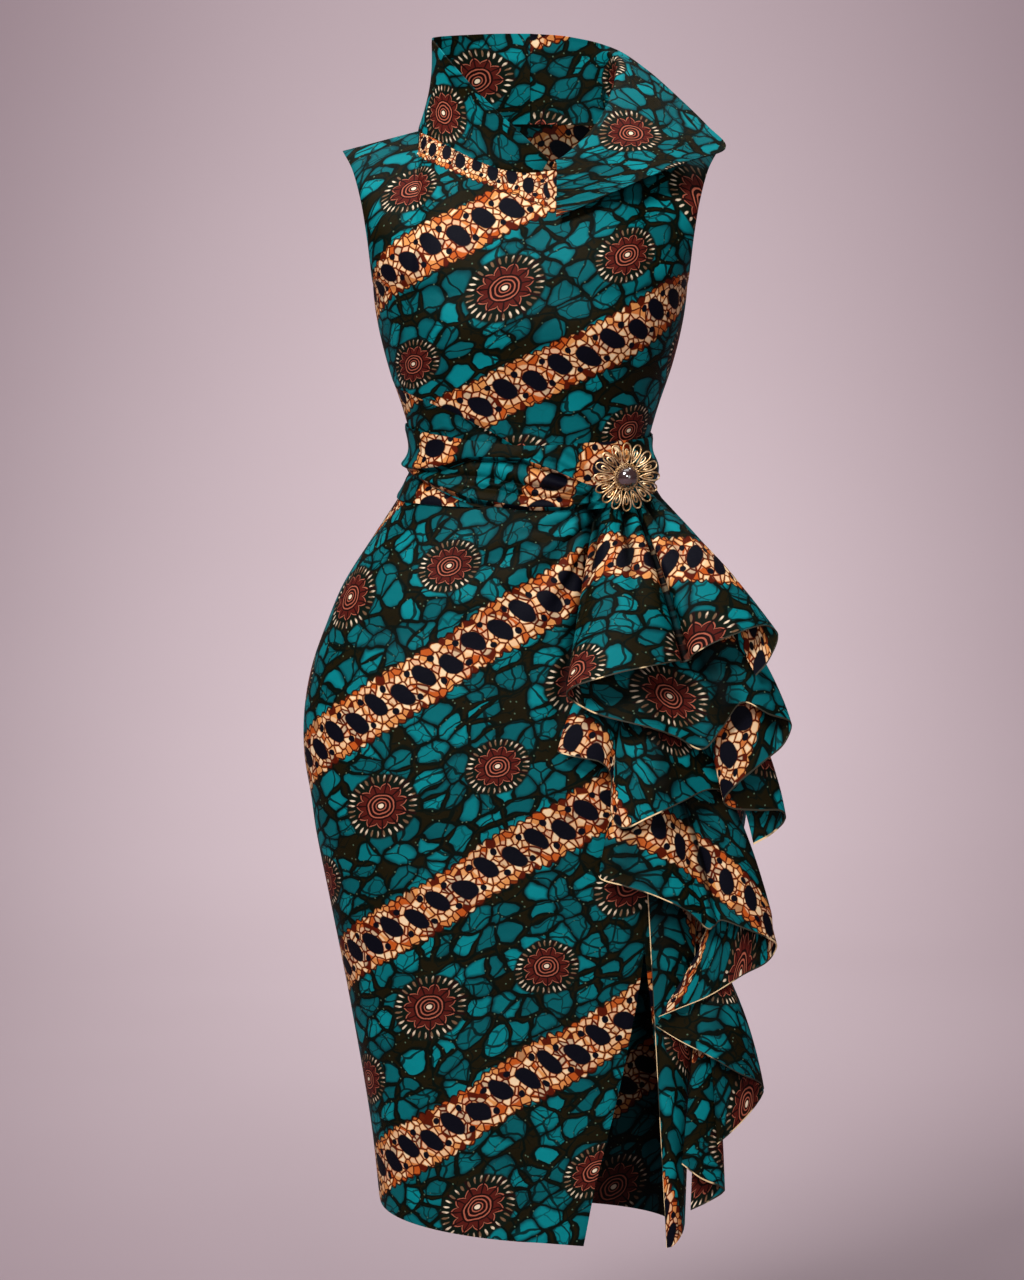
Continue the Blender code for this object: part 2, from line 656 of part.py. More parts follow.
for old in list(bpy.data.objects):
    bpy.data.objects.remove(old)
DRESS = bpy.data.collections.new("ankara_dress")
CUTTERS = bpy.data.collections.new("cutters")
bpy.context.scene.collection.children.link(DRESS)
bpy.context.scene.collection.children.link(CUTTERS)
TEAL = material("teal_wax_print", (0.02, 0.24, 0.22), 0.62)
GOLD = material("old_gold", (0.62, 0.46, 0.2), 0.32, 1.0)
BROWN_PEARL = material("brown_pearl", (0.09, 0.03, 0.02), 0.15)
make_bodice(TEAL)
make_skirt(TEAL)
make_sash(TEAL)
make_collar(TEAL)
make_ruffle(TEAL)
make_brooch(GOLD, BROWN_PEARL)
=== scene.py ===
"""The looks of an ankara wax print dress: printed cotton panels, a pleated sash, a wrapped wing collar, a
waterfall ruffle and a wire flower brooch. Tables are in millimetres and meshes in metres. Left and right are
the viewer's."""

import math
import bpy
import numpy as np
from mathutils import Matrix, Vector


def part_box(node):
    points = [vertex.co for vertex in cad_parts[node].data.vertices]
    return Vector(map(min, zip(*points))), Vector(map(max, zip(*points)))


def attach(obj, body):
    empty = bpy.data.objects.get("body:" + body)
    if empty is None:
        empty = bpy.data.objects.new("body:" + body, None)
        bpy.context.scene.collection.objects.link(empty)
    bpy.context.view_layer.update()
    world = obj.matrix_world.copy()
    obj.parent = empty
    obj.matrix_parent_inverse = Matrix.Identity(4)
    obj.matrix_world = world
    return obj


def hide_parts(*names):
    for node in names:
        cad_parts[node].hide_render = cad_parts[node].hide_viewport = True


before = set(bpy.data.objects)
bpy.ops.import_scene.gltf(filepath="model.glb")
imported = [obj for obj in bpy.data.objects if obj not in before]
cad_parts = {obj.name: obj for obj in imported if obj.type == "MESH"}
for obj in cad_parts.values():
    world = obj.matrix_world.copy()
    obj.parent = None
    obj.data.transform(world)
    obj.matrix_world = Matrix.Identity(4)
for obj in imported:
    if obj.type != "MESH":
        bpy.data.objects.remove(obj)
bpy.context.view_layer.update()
bpy.ops.object.select_all(action="DESELECT")

# The printed cotton: a plain weave, about 125 g a square metre, with a light wax glaze. A teal crackled
# ground, a pebbled orange band with navy spots and rows of flowers are printed through it, so that both faces
# show them.

MM = 0.001


def paint(red, green, blue):
    """A screen colour, 0 to 255, in the shaders' linear units."""
    return (*((c / 255) ** 2.2 for c in (red, green, blue)), 1.0)


def connect(node, inputs):
    """Gives a node its inputs, as wires or values."""
    for key, value in inputs.items():
        if isinstance(value, Wire):
            node.id_data.links.new(value.socket, node.inputs[key])
        else:
            node.inputs[key].default_value = value


def add(tree, kind, inputs, output=0, **settings):
    """An output of a new node in a tree."""
    made = tree.nodes.new("ShaderNode" + kind)
    for key, value in settings.items():
        setattr(made, key, value)
    connect(made, inputs)
    return Wire(made.outputs[output])


def maths(operation, turned=False):
    """A method that adds a Math node for this operation. Turned ones have the wire last."""
    def reckon(wire, *others):
        values = (*others, wire) if turned else (wire, *others)
        return add(wire.tree, "Math", dict(enumerate(values)), operation=operation)

    return reckon


class Wire:
    """An output in a shader tree. Reckoning with it adds the nodes that work it out."""

    def __init__(self, socket):
        self.socket, self.tree = socket, socket.id_data

    __add__, __mul__, __pow__ = maths("ADD"), maths("MULTIPLY"), maths("POWER")
    __radd__, __rmul__, __abs__ = __add__, __mul__, maths("ABSOLUTE")
    __sub__, __rsub__, __truediv__ = maths("SUBTRACT"), maths("SUBTRACT", turned=True), maths("DIVIDE")
    __mod__, __lt__, __gt__ = maths("FLOORED_MODULO"), maths("LESS_THAN"), maths("GREATER_THAN")
    least, most, root, sine = maths("MINIMUM"), maths("MAXIMUM"), maths("SQRT"), maths("SINE")
    floor, nearest, wrapped = maths("FLOOR"), maths("ROUND"), maths("WRAP")
    bounced, angle = maths("PINGPONG"), maths("ARCTAN2")


def hypotenuse(x, y):
    return (x ** 2.0 + y ** 2.0).root()


def ease(value, low, high):
    """0 below low, 1 above high and a soft step between. Swapped limits turn the step round."""
    limits = {"Value": value, "From Min": min(low, high), "From Max": max(low, high)}
    if low > high:
        limits.update({"To Min": 1.0, "To Max": 0.0})
    return add(value.tree, "MapRange", limits, interpolation_type="SMOOTHSTEP")


def over(colour, *layers):
    """A colour with layers over it, each a mask and a colour."""
    for mask, top in layers:
        colour = add(mask.tree, "Mix", {0: mask, 6: colour, 7: top}, output=2, data_type="RGBA")
    return colour


def split(vector):
    return [add(vector.tree, "SeparateXYZ", {0: vector}, output=i) for i in range(2)]


def joined(x, y):
    return add(x.tree, "CombineXYZ", {"X": x, "Y": y})


def vectors(operation, vector, inputs, output=0):
    return add(vector.tree, "VectorMath", {0: vector, **inputs}, output=output, operation=operation)


def noise(place, scale, detail, dimensions="2D", output=0):
    inputs = {"Vector": place, "Scale": scale, "Detail": detail}
    return add(place.tree, "TexNoise", inputs, output=output, noise_dimensions=dimensions)


def cells(place, size, output="Distance", feature="F1"):
    """Irregular cells of this size in metres. Distances come out in cell sizes."""
    inputs = {"Vector": place, "Scale": 1 / size}
    return add(place.tree, "TexVoronoi", inputs, output=output, voronoi_dimensions="2D", feature=feature)


def cell_edges(place, size):
    return cells(place, size, feature="DISTANCE_TO_EDGE")


def shaken(place, size, amount):
    """The place moved by noise of this size, by up to this amount, so that drawn edges aren't straight."""
    centred = vectors("SUBTRACT", noise(place, 1 / size, 1.0, output=1), {1: (0.5, 0.5, 0.5)})
    return vectors("ADD", place, {1: vectors("SCALE", centred, {"Scale": 2 * amount})})


def group(name, outputs, *floats):
    """An empty shader group: its inputs as wires, a vector and these floats, and its output node."""
    tree = bpy.data.node_groups.new(name, "ShaderNodeTree")
    for label in ("Vector", *floats, *outputs):
        kind = label if label in ("Vector", "Color") else "Float"
        way = "OUTPUT" if label in outputs else "INPUT"
        tree.interface.new_socket(label, in_out=way, socket_type="NodeSocket" + kind)
    given = tree.nodes.new("NodeGroupInput").outputs
    return [Wire(given[label]) for label in ("Vector", *floats)], tree.nodes.new("NodeGroupOutput")


def ended(result, **outputs):
    """The shader group that ends in these outputs."""
    connect(result, outputs)
    return result.id_data


def grouped(tree, made, **inputs):
    """A group at work in a tree: its outputs as wires."""
    node = tree.nodes.new("ShaderNodeGroup")
    node.node_tree = made
    connect(node, inputs)
    return [Wire(node.outputs[item.name]) for item in made.interface.items_tree if item.in_out == "OUTPUT"]


def crackled_ground():
    """Rounded teal cells, some cracked, in a net of dark dye with pale specks."""
    (given,), result = group("crackled_ground", ["Color"])
    along, across = split(given)
    squeezed = joined(along * 0.68, across)
    drawn = shaken(shaken(squeezed, 0.035, 0.007), 0.011, 0.0019)
    size, speck_size = 0.0192, 0.0085
    chance, second = split(cells(drawn, size, "Color"))
    inside = cell_edges(drawn, size).least((0.65 - cells(drawn, size)) * 0.85)
    off_net = inside - ease(noise(squeezed, 30.0, 2.0), 0.3, 0.8) * 0.14
    web = cell_edges(shaken(drawn, 0.02, 0.004), 0.03)
    cracks = cell_edges(shaken(drawn, 0.012, 0.003), 0.0115)
    cracked = ease(cracks, 0.07, 0.025) * ease(second, 0.35, 0.5)
    lines = ease(web, 0.04, 0.022).most(cracked * 0.8)
    deep = ease(inside, 0.02, 0.22)
    light = deep * ease(chance, 0.3, 0.95)
    dyed = over(paint(0, 53, 58), (deep, paint(0, 87, 92)), (light, paint(4, 125, 131)))
    lucky = split(cells(given, speck_size, "Color"))[0]
    speck = ease(cells(given, speck_size), 0.12, 0.05) * ease(lucky, 0.5, 0.55)
    black_net = ease(off_net, -0.1, -0.02).most(lines)
    net = over(paint(30, 25, 8), (black_net, paint(2, 18, 12)), (speck * 0.7, paint(96, 120, 96)))
    cell = ease(off_net, 0.02, 0.046) * (1.0 - lines * 0.9)
    return ended(result, Color=over(net, (cell, dyed)))


def pebbled_band():
    """A scalloped band on Y 0: cream and orange pebbles in rust, and staggered navy spots."""
    (given,), result = group("pebbled_band", ["Color", "Mask"])
    place = shaken(given, 0.02, 0.0022)
    along, across = split(place)
    step, pebble = 0.0285, 0.0072
    depth = 0.0225 + abs((along * (3 * math.pi / step)).sine()) * 0.003 - abs(across)
    upper = (along / step).nearest() % 2.0 * 2.0 - 1.0
    spot_x, spot_y = along.wrapped(step / 2, -step / 2), across - upper * 0.0026
    far = hypotenuse((spot_x + spot_y * 0.3) / 0.0092, spot_y / 0.0125)
    dot = hypotenuse(abs(spot_x) - step / 2, abs(across) - 0.0118)
    edge = cell_edges(place, pebble)
    own, other = split(cells(place, pebble, "Color"))
    ring = ease(abs(far - 1.26), 0.3, 0.16) * ease(edge, 0.08, 0.2) * 0.6
    rust, cream, navy = paint(84, 26, 7), paint(240, 208, 166), paint(14, 14, 24)
    filled = over(
        paint(184, 84, 33), (ease(own, 0.15, 0.5), paint(216, 142, 80)),
        (ease(own, 0.58, 0.72) * ease(edge, 0.1, 0.3), cream), (ease(other, 0.78, 0.84), rust), (ring, cream),
    )
    colour = over(
        rust, (ease(edge, 0.05, 0.15), filled), (ease(dot, 0.0036, 0.0029), navy),
        (ease(far, 1.06, 0.94), navy), (ease(depth, 0.0024, 0.0008), paint(34, 17, 9)),
    )
    return ended(result, Color=colour, Mask=ease(depth, -0.0006, 0.0004))


def rosette():
    """A flower round 0, 0: a cream eye, rust rings, pink-edged petals and seeds on a dark halo."""
    (given,), result = group("rosette", ["Color", "Mask"])
    x, y = split(shaken(given, 0.012, 0.0012))
    x = x / 1.38
    far, turn = hypotenuse(x, y), y.angle(x)
    petals, seeds, seed_ring = 11, 32, 0.0272
    leaf = (turn * (petals / math.pi)).bounced(1.0)
    depth = 0.0165 + leaf ** 0.6 * 0.0062 - far
    inner, rings = ease(far, 0.0136, 0.013), (far * (2 * math.pi / 0.0034)).sine()
    aside = (turn * (seeds / (2 * math.pi))).bounced(0.5) * (2 * math.pi / seeds * seed_ring)
    off = hypotenuse(aside, (far - seed_ring) * 0.3)
    dark_red, pink, cream = paint(34, 15, 13), paint(168, 90, 70), paint(236, 212, 182)
    seed = over(paint(112, 84, 62), (ease(noise(given, 60.0, 2.0), 0.42, 0.6), cream))
    colour = over(
        paint(16, 26, 19), (ease(depth, -0.0005, 0.0002), pink), (ease(depth, 0.0007, 0.0013), dark_red),
        (ease(depth, 0.0019, 0.0024), paint(84, 30, 24)), (ease(leaf, 0.8, 0.92), dark_red),
        (inner, dark_red), (inner * ease(rings, 0.2, 0.75), pink), (ease(far, 0.0042, 0.0036), dark_red),
        (ease(far, 0.0026, 0.002), cream), (ease(off, 0.00115, 0.00065), seed),
    )
    return ended(result, Color=colour, Mask=ease(far, 0.0335, 0.0305))


GROUND, BAND, FLOWER = crackled_ground(), pebbled_band(), rosette()


def wax_print():
    """The whole print. X runs along the bands, Y across them, and rows of flowers stand between."""
    (given, pitch, flowers, highest), result = group("wax_print", ["Color"], "Pitch", "Flowers", "Highest")
    along, across = split(given)
    colour = grouped(given.tree, GROUND, Vector=given)[0]
    row = (across / pitch).floor()
    spacing = 0.236
    for offset, aside, size in ((0.0, 0.07, 0.93), (0.5, -0.08, 0.78)):
        x = (along - (row * 0.31 + offset) * spacing).wrapped(spacing / 2, -spacing / 2)
        y = across - (row + (0.5 + aside)) * pitch
        flower, mask = grouped(given.tree, FLOWER, Vector=joined(x / size, y / size))
        colour = over(colour, (mask * flowers, flower))
    number = (across / pitch).nearest()
    band, mask = grouped(given.tree, BAND, Vector=joined(along, across - number * pitch))
    return ended(result, Color=over(colour, (mask * (number < highest + 0.5), band)))


def weave():
    """The height of plain-woven threads, and the slight unevenness of pressed cotton."""
    (given,), result = group("weave", ["Height", "Shade"])
    warp, weft = [(way * (2 * math.pi / 0.00055)).sine() for way in split(given)]
    uneven = noise(given, 38.0, 3.0)
    return ended(result, Height=warp * weft * 0.00003 + uneven * 0.0009, Shade=uneven)


PRINT, WEAVE = wax_print(), weave()


def material(name):
    """A new material and its shader."""
    made = bpy.data.materials.new(name)
    made.use_nodes = True
    return made, made.node_tree.nodes["Principled BSDF"]


def mapped(place, turn, move, scale=1):
    """A place turned by this many degrees, then moved by millimetres."""
    turned = add(place.tree, "Mapping", {"Vector": place, "Rotation": (0, 0, math.radians(-turn))})
    location = (move[0] * MM, move[1] * MM, 0)
    return add(place.tree, "Mapping", {"Vector": turned, "Location": location, "Scale": (scale, scale, 1)})


def printed_cotton(name, turn, shift, pitch, second=None, flowers=1.0, highest=99.0, tucks=()):
    """The print on one panel: turned by degrees and moved by millimetres on the panel's own map, with a
    second band over it where its mapping says. Each tuck is: the tuck line it lies under, the x where it
    starts, and how far the print jumps along and down. Painted shade from a point attribute darkens the
    print in pressed valleys, under the tier above and on the inner side."""
    made, shader = material(name)
    tree = made.node_tree
    cut = add(tree, "UVMap", {}, uv_map="cloth")
    x = split(cut)[0]
    laid = cut
    for line, since, along_jump, down_jump in tucks:
        under = (split(add(tree, "UVMap", {}, uv_map="tuck"))[line] < 0.0) * (x > since * MM)
        jump = {0: (along_jump * MM, down_jump * MM, 0), "Scale": under}
        laid = vectors("ADD", laid, {1: add(tree, "VectorMath", jump, operation="SCALE")})
    place = mapped(laid, turn, shift)
    colour = grouped(tree, PRINT, Vector=place, Pitch=pitch * MM, Flowers=flowers, Highest=highest)[0]
    if second:
        place = mapped(cut, second["turn"], (0, second["shift"] * second["finer"]), second["finer"])
        band, mask = grouped(tree, BAND, Vector=place)
        since, until = second["since"] * MM, second["until"] * MM
        colour = over(colour, (mask * (ease(x, until + MM, until) * ease(x, since - MM, since)), band))
    height, shade = grouped(tree, WEAVE, Vector=cut)
    # The weave's uneven tone, then painted shade from the cloth's attribute: fold valleys, sewn roots under
    # the tier above, and the inner side
    painted_shade = add(tree, "Attribute", {}, output="Fac", attribute_name="painted_shade")
    colour = over(colour, (shade * 0.12, paint(0, 0, 0)), (painted_shade * 0.85, paint(0, 10, 10)))
    bump = add(tree, "Bump", {"Height": height, "Strength": 1.0, "Distance": 1.0})
    rough = 0.52 + shade * 0.16
    connect(shader, {"Base Color": colour, "Roughness": rough, "Normal": bump, "Specular IOR Level": 0.07})
    return made


# The front of the bodice: one shaped panel of printed cotton from the waist to the shoulders and neck, seamed
# to the backs at the sides and shoulders, with the collar round the neck. The armholes are faced and turned.

CLOTH = 1.6  # the wall that the panels are drafted round
SHELL = 1.1  # how thick the cloth is here, with its pressed allowances
TURN_WIDE = 2.2  # how far in from its rim a turned edge bends
PAINTED_SHADE_DEPTH = 6  # a valley of this depth gets the darkest painted shade
ROOT_SHADOW_SHARE = 0.4  # how far down a strip the painted shadow reaches from its sewn root, under the tier above
INSIDE_SHADE = 0.8  # how dark the painted shade is on the cloth's inner side, inside the garment
SEAM = 0.3  # gap between panels at a seam
LAY = CLOTH + SEAM
BODY_ROUND = 2.5  # exponent of the body's oval sections
WAIST_Z, UNDERARM_Z = -300.0, -128.0


def table(rows):
    return np.array(rows, float)


# Sections of the body, from the hem up: height, half width, depth in front of and behind the side seams
SECTIONS = table([
    (-1060, 142, 99, 90), (-1005, 146, 100, 92), (-932, 154, 102, 96), (-813, 174, 106, 104),
    (-720, 192, 110, 113), (-654, 205, 113, 121), (-618, 210, 115, 126), (-581, 216, 116, 131),
    (-550, 217, 116, 133), (-518, 214, 116, 133), (-487, 207, 115, 131), (-454, 195, 113, 127),
    (-422, 182, 111, 121), (-402, 171, 109, 115), (-379, 156, 106, 107), (-356, 141, 102, 98),
    (-333, 126, 97, 88), (-316, 116, 94, 81), (-300, 111, 92, 77), (-280, 112, 92, 76), (-245, 121, 98, 80),
    (-202, 135, 110, 87), (-160, 145, 122, 92), (-128, 149, 120, 95), (-90, 150, 114, 97),
])
BUST = dict(x=70, z=-165, wide=46, tall=52, out=6)


def eased(at, stops, values):
    """A smooth curve through values at rising stops."""
    at = min(max(at, stops[0]), stops[-1])
    i = min(int(np.searchsorted(stops, at, side="right")) - 1, len(stops) - 2)
    step = stops[i + 1] - stops[i]
    t = (at - stops[i]) / step
    before, after = max(i - 1, 0), min(i + 2, len(stops) - 1)
    rise = (values[i + 1] - values[before]) / (stops[i + 1] - stops[before]) * step
    fall = (values[after] - values[i]) / (stops[after] - stops[i]) * step
    ends = (2 * t**3 - 3 * t**2 + 1) * values[i] + (3 * t**2 - 2 * t**3) * values[i + 1]
    return ends + (t**3 - 2 * t**2 + t) * rise + (t**3 - t**2) * fall


def along(points, t):
    """The point at t, 0 to 1, on a smooth curve through rows."""
    return eased(t * (len(points) - 1), np.arange(len(points), dtype=float), points)


def section(z):
    return eased(z, SECTIONS[:, 0], SECTIONS[:, 1:])


def body(angle, z, out=0.0):
    """A point of the body's surface, moved out from it. The angle is 0 at the right side seam, 90 at the
    centre front and 180 at the left side seam."""
    half, front, back = section(z)
    c, s = math.cos(math.radians(angle)), math.sin(math.radians(angle))
    depth = front if s >= 0 else back
    x = half * math.copysign(abs(c) ** (2 / BODY_ROUND), c)
    y = -depth * math.copysign(abs(s) ** (2 / BODY_ROUND), s)
    if s > 0 and z > WAIST_Z:
        away = ((abs(x) - BUST["x"]) / BUST["wide"]) ** 2 + ((z - BUST["z"]) / BUST["tall"]) ** 2
        out = out + BUST["out"] * math.exp(-away)
    across = math.copysign(abs(x / half) ** (BODY_ROUND - 1), x) / half
    ahead = math.copysign(abs(y / depth) ** (BODY_ROUND - 1), y) / depth
    move = out / math.hypot(across, ahead)
    return np.array([x + move * across, y + move * ahead, z])


def angle_at(x, z):
    """The angle of the front of the body at this x."""
    share = max(-1.0, min(1.0, x / section(z)[0]))
    return math.degrees(math.acos(math.copysign(abs(share) ** (BODY_ROUND / 2), share)))


# Armhole edges from the underarm up to the shoulder tip, in front of and behind the arm: x, y, z
ARMHOLE_FRONT = table([
    (149, 0, -128), (150, -28, -119), (152, -45, -100), (155, -52, -75), (160, -46, -46), (168, -27, -18),
    (178, 5, -1),
])
ARMHOLE_BACK = table([
    (149, 0, -128), (150, 27, -118), (152, 44, -96), (156, 50, -66), (161, 46, -38), (169, 30, -13),
    (178, 5, -1),
])
NECK = dict(half_width=106, front=78, back=70, side_z=18, front_drop=36, back_rise=4)
SHOULDER_GAP = 1.0
CHEST_CURVE = 1.6


def neckline(turn):
    """The neck seam. The turn is 0 at the centre front, 90 at the right shoulder and 180 at the centre
    back."""
    c, s = math.cos(math.radians(turn)), math.sin(math.radians(turn))
    if c > 0:
        depth, z = -NECK["front"] * c, NECK["side_z"] - NECK["front_drop"] * c**3
    else:
        depth, z = -NECK["back"] * c, NECK["side_z"] + NECK["back_rise"] * c**2
    return np.array([NECK["half_width"] * s, depth, z])


def upper_bodice(side, u, v):
    """The bodice above the underarm line: u runs from the left armhole to the right one, and v from the
    underarm line up to the shoulders and neck. The side is 1 for the front and -1 for the back."""
    armhole = ARMHOLE_FRONT if side > 0 else ARMHOLE_BACK
    v_share = np.array([v, v**CHEST_CURVE, v])

    def top(u):
        across = 2 * u - 1
        apart = np.array([0, side * SHOULDER_GAP * min(1.0, max(0.0, abs(across) - 0.45) / 0.05), 0])
        if abs(across) < 0.5:
            return neckline(180 * across if side > 0 else 180 - 180 * across) - apart
        inner, tip = neckline(90), armhole[-1]
        point = inner + (tip - inner) * (abs(across) - 0.5) / 0.5
        return point * [math.copysign(1, across), 1, 1] - apart

    def straight(u):
        return (1 - v_share) * body(side * 180 * (1 - u), UNDERARM_Z) + v_share * top(u)

    point = straight(u)
    for end, sign in ((0, -1), (1, 1)):
        edge = along(armhole, v) * [sign, 1, 1] - [0, side * SHOULDER_GAP * v, 0]
        point = point + max(0.0, sign * (2 * u - 1)) ** 1.5 * (edge - straight(end))
    return point


def bodice(side, u, v):
    """The whole bodice wall: v below 0 runs from the underarm line down to the waist."""
    if v >= 0:
        return upper_bodice(side, u, v)
    return body(side * 180 * (1 - u), UNDERARM_Z + v * (UNDERARM_Z - WAIST_Z))


def off_line(places, line):
    """How far each place is to the left of a line, with its sign, and how far along it, 0 to 1."""
    line = np.reshape(line, (-1, 2))
    steps = np.linalg.norm(np.diff(line, axis=0), axis=1)
    best = np.full(places.shape[:-1], np.inf)
    side, share = np.zeros_like(best), np.zeros_like(best)
    passed = 0.0
    for start, end, length in zip(line, line[1:], steps):
        way = (end - start) / length
        gone = np.clip((places - start) @ way, 0, length)
        apart = places - start - gone[..., None] * way
        far = np.linalg.norm(apart, axis=-1)
        nearer = far < best
        side = np.where(nearer, np.copysign(far, way[0] * apart[..., 1] - way[1] * apart[..., 0]), side)
        share = np.where(nearer, (passed + gone) / steps.sum(), share)
        best = np.minimum(best, far)
        passed += length
    return side, share


def folded(places, folds):
    """The lift of folds drawn as lines. Each row is: the lift at the line's start and end, how wide it is to
    the left of the line and to the right, and the line's points, x and z. Troughs are below 0."""
    lift = np.zeros(places.shape[:-1])
    for from_lift, to_lift, left_wide, right_wide, *line in folds:
        side, share = off_line(places, line)
        wide = np.where(side > 0, left_wide, right_wide)
        height = from_lift + (to_lift - from_lift) * share
        fade = np.minimum(1, np.minimum(share, 1 - share) * 6 + 0.25) if from_lift == to_lift else 1
        lift += height * fade * np.exp(-((side / wide) ** 2))
    return lift


def mirrored(folds):
    """The same folds on the left side, where a line's left is its right."""
    made = []
    for from_lift, to_lift, left_wide, right_wide, *line in folds:
        other = (np.reshape(line, (-1, 2)) * [-1, 1]).ravel()
        made.append((from_lift, to_lift, right_wide, left_wide, *other))
    return made


def run(points, axis):
    """How far each point is from the first one along its row or column."""
    first = np.take(points, [0], axis=axis)
    return np.cumsum(np.linalg.norm(np.diff(points, axis=axis, prepend=first), axis=2), axis=axis)


def lengths(points, down=1):
    """The cloth's own map: how far each point is along its row, from where the row is nearest to the centre,
    and how far it is along its column from the first row, in metres."""
    across = run(points, 1)
    for row, places in zip(across, points):
        nearest = np.argmin(np.abs(places[:, 0]))
        row += places[nearest, 0] - row[nearest]
    return np.stack([across, run(points, 0) * down], axis=2) * MM


def from_first(points):
    """The map of a piece that isn't laid out from the centre front: distances from its first row and
    column."""
    return np.stack([run(points, 1), run(points, 0)], axis=2) * MM


def stretched_rim(points, reach):
    """Moves a sheet's first and last row and column outwards by this much, to close seams."""
    grown = points.copy()
    for k, by in enumerate(reach):
        rim, inner = ((0, 1), (-1, -2))[k % 2]
        rim, inner = (rim, inner) if k < 2 else ((slice(None), rim), (slice(None), inner))
        away = points[rim] - points[inner]
        grown[rim] += away / np.linalg.norm(away, axis=1, keepdims=True) * by
    return grown


def crowded(count, *close):
    """Even shares from 0 to 1, with a few more near both ends for the turned edges."""
    close = close or (0.0015, 0.004, 0.008)
    inner = np.linspace(0, 1, count)
    inner = inner[(inner > close[-1] * 1.3) & (inner < 1 - close[-1] * 1.3)]
    return np.concatenate([[0], close, inner, 1 - np.array(close[::-1]), [1]])


def new_object(name, data):
    made = bpy.data.objects.new(name, data)
    bpy.context.scene.collection.objects.link(made)
    return made


def pick(*chosen):
    """Selects these objects only, the first of them active."""
    bpy.ops.object.select_all(action="DESELECT")
    for made in chosen:
        made.select_set(True)
    bpy.context.view_layer.objects.active = chosen[0]


def finished(made, node, sharp):
    """Smooths an object up to this angle, hangs it on the root body and hides the part that it stands for."""
    bpy.ops.object.shade_smooth_by_angle(angle=math.radians(sharp))
    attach(made, "root")
    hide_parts(node)


def cloth(node, surface, columns, rows, printed, outside=1, folds=(), fold_places=None, cut=lengths,
          edge=None, edge_line="end", turned=0.5, thickness=SHELL, reach=(0, 0, SEAM / 2, SEAM / 2),
          tuck_lines=(), inside=0.0, root_shadow=0.0, held="stretched", **sheet):
    """One panel: a sheet on a surface of column and row, with its folds, its turned edges and its map, given
    its thickness. The outside is 1 where columns to the right and rows upwards face out, and -1 where they
    face in."""
    points = stretched_rim(np.array([[surface(u, v) for u in columns] for v in rows]), reach)
    flat_map = cut(points)
    wide, tall = np.gradient(points, axis=1), np.gradient(points, axis=0)
    normal = np.cross(wide, tall) * outside
    normal /= np.maximum(np.linalg.norm(normal, axis=2, keepdims=True), 1e-9)
    raised = folded(points[..., [0, 2]] if fold_places is None else fold_places, folds)
    points = points + normal * raised[..., None]
    if turned:
        rim = np.inf
        for axis, way in enumerate((tall, wide)):
            gone = np.cumsum(np.linalg.norm(way, axis=2), axis=axis)
            rim = np.minimum(rim, np.minimum(gone - gone.take([0], axis), gone.take([-1], axis) - gone))
        points = points - normal * (turned * np.exp(-((rim / TURN_WIDE) ** 2)))[..., None]
    count_v, count_u = points.shape[:2]
    at = np.arange(count_v * count_u).reshape(count_v, count_u)
    faces = np.stack([at[:-1, :-1], at[:-1, 1:], at[1:, 1:], at[1:, :-1]], axis=2)
    faces = faces.reshape(-1, 4)[:, ::outside]
    mesh = bpy.data.meshes.new(f"{node}_cloth")
    mesh.from_pydata((points.reshape(-1, 3) * MM).tolist(), [], faces.tolist())
    picked = np.array([loop.vertex_index for loop in mesh.loops])
    maps = {"cloth": flat_map}
    if tuck_lines:
        maps["tuck"] = np.stack([off_line(points[..., [0, 2]], line)[0] for line in tuck_lines], axis=2) * MM
    for label, values in maps.items():
        mesh.uv_layers.new(name=label).data.foreach_set("uv", values.reshape(-1, 2)[picked].ravel())
    # Painted shade: the print darkens in the folds' valleys, and near a strip's sewn edge as a painted shadow
    # of the tier above
    root = root_shadow * np.clip(1 - rows / ROOT_SHADOW_SHARE, 0, 1)[:, None]
    painted_shade = np.clip(root - raised / PAINTED_SHADE_DEPTH, 0, 1).ravel()
    mesh.attributes.new("painted_shade", "FLOAT", "POINT").data.foreach_set("value", painted_shade)
    made = new_object(f"{node}_cloth", mesh)
    mesh.materials.append(printed)
    if edge:
        mesh.materials.append(edge)
    wall = made.modifiers.new("thickness", "SOLIDIFY")
    wall.thickness = thickness * MM
    wall.offset = 0
    pick(made)
    bpy.ops.object.modifier_apply(modifier="thickness")
    # Painted shade on the cloth's inner side, as inside the garment where little light reaches
    if inside:
        both = np.concatenate([painted_shade, np.full(painted_shade.size, inside)])
        mesh.attributes["painted_shade"].data.foreach_set("value", both)
    for face in mesh.polygons if edge else ():
        met = [corner % (count_u * count_v) for corner in face.vertices]
        column = [corner % count_u for corner in met]
        at_end = edge_line == "end" and min(met) // count_u >= count_v - 2
        at_side = edge_line == "sides" and (max(column) <= 1 or min(column) >= count_u - 2)
        face.material_index = int(at_end or at_side)
    finished(made, node, 50)


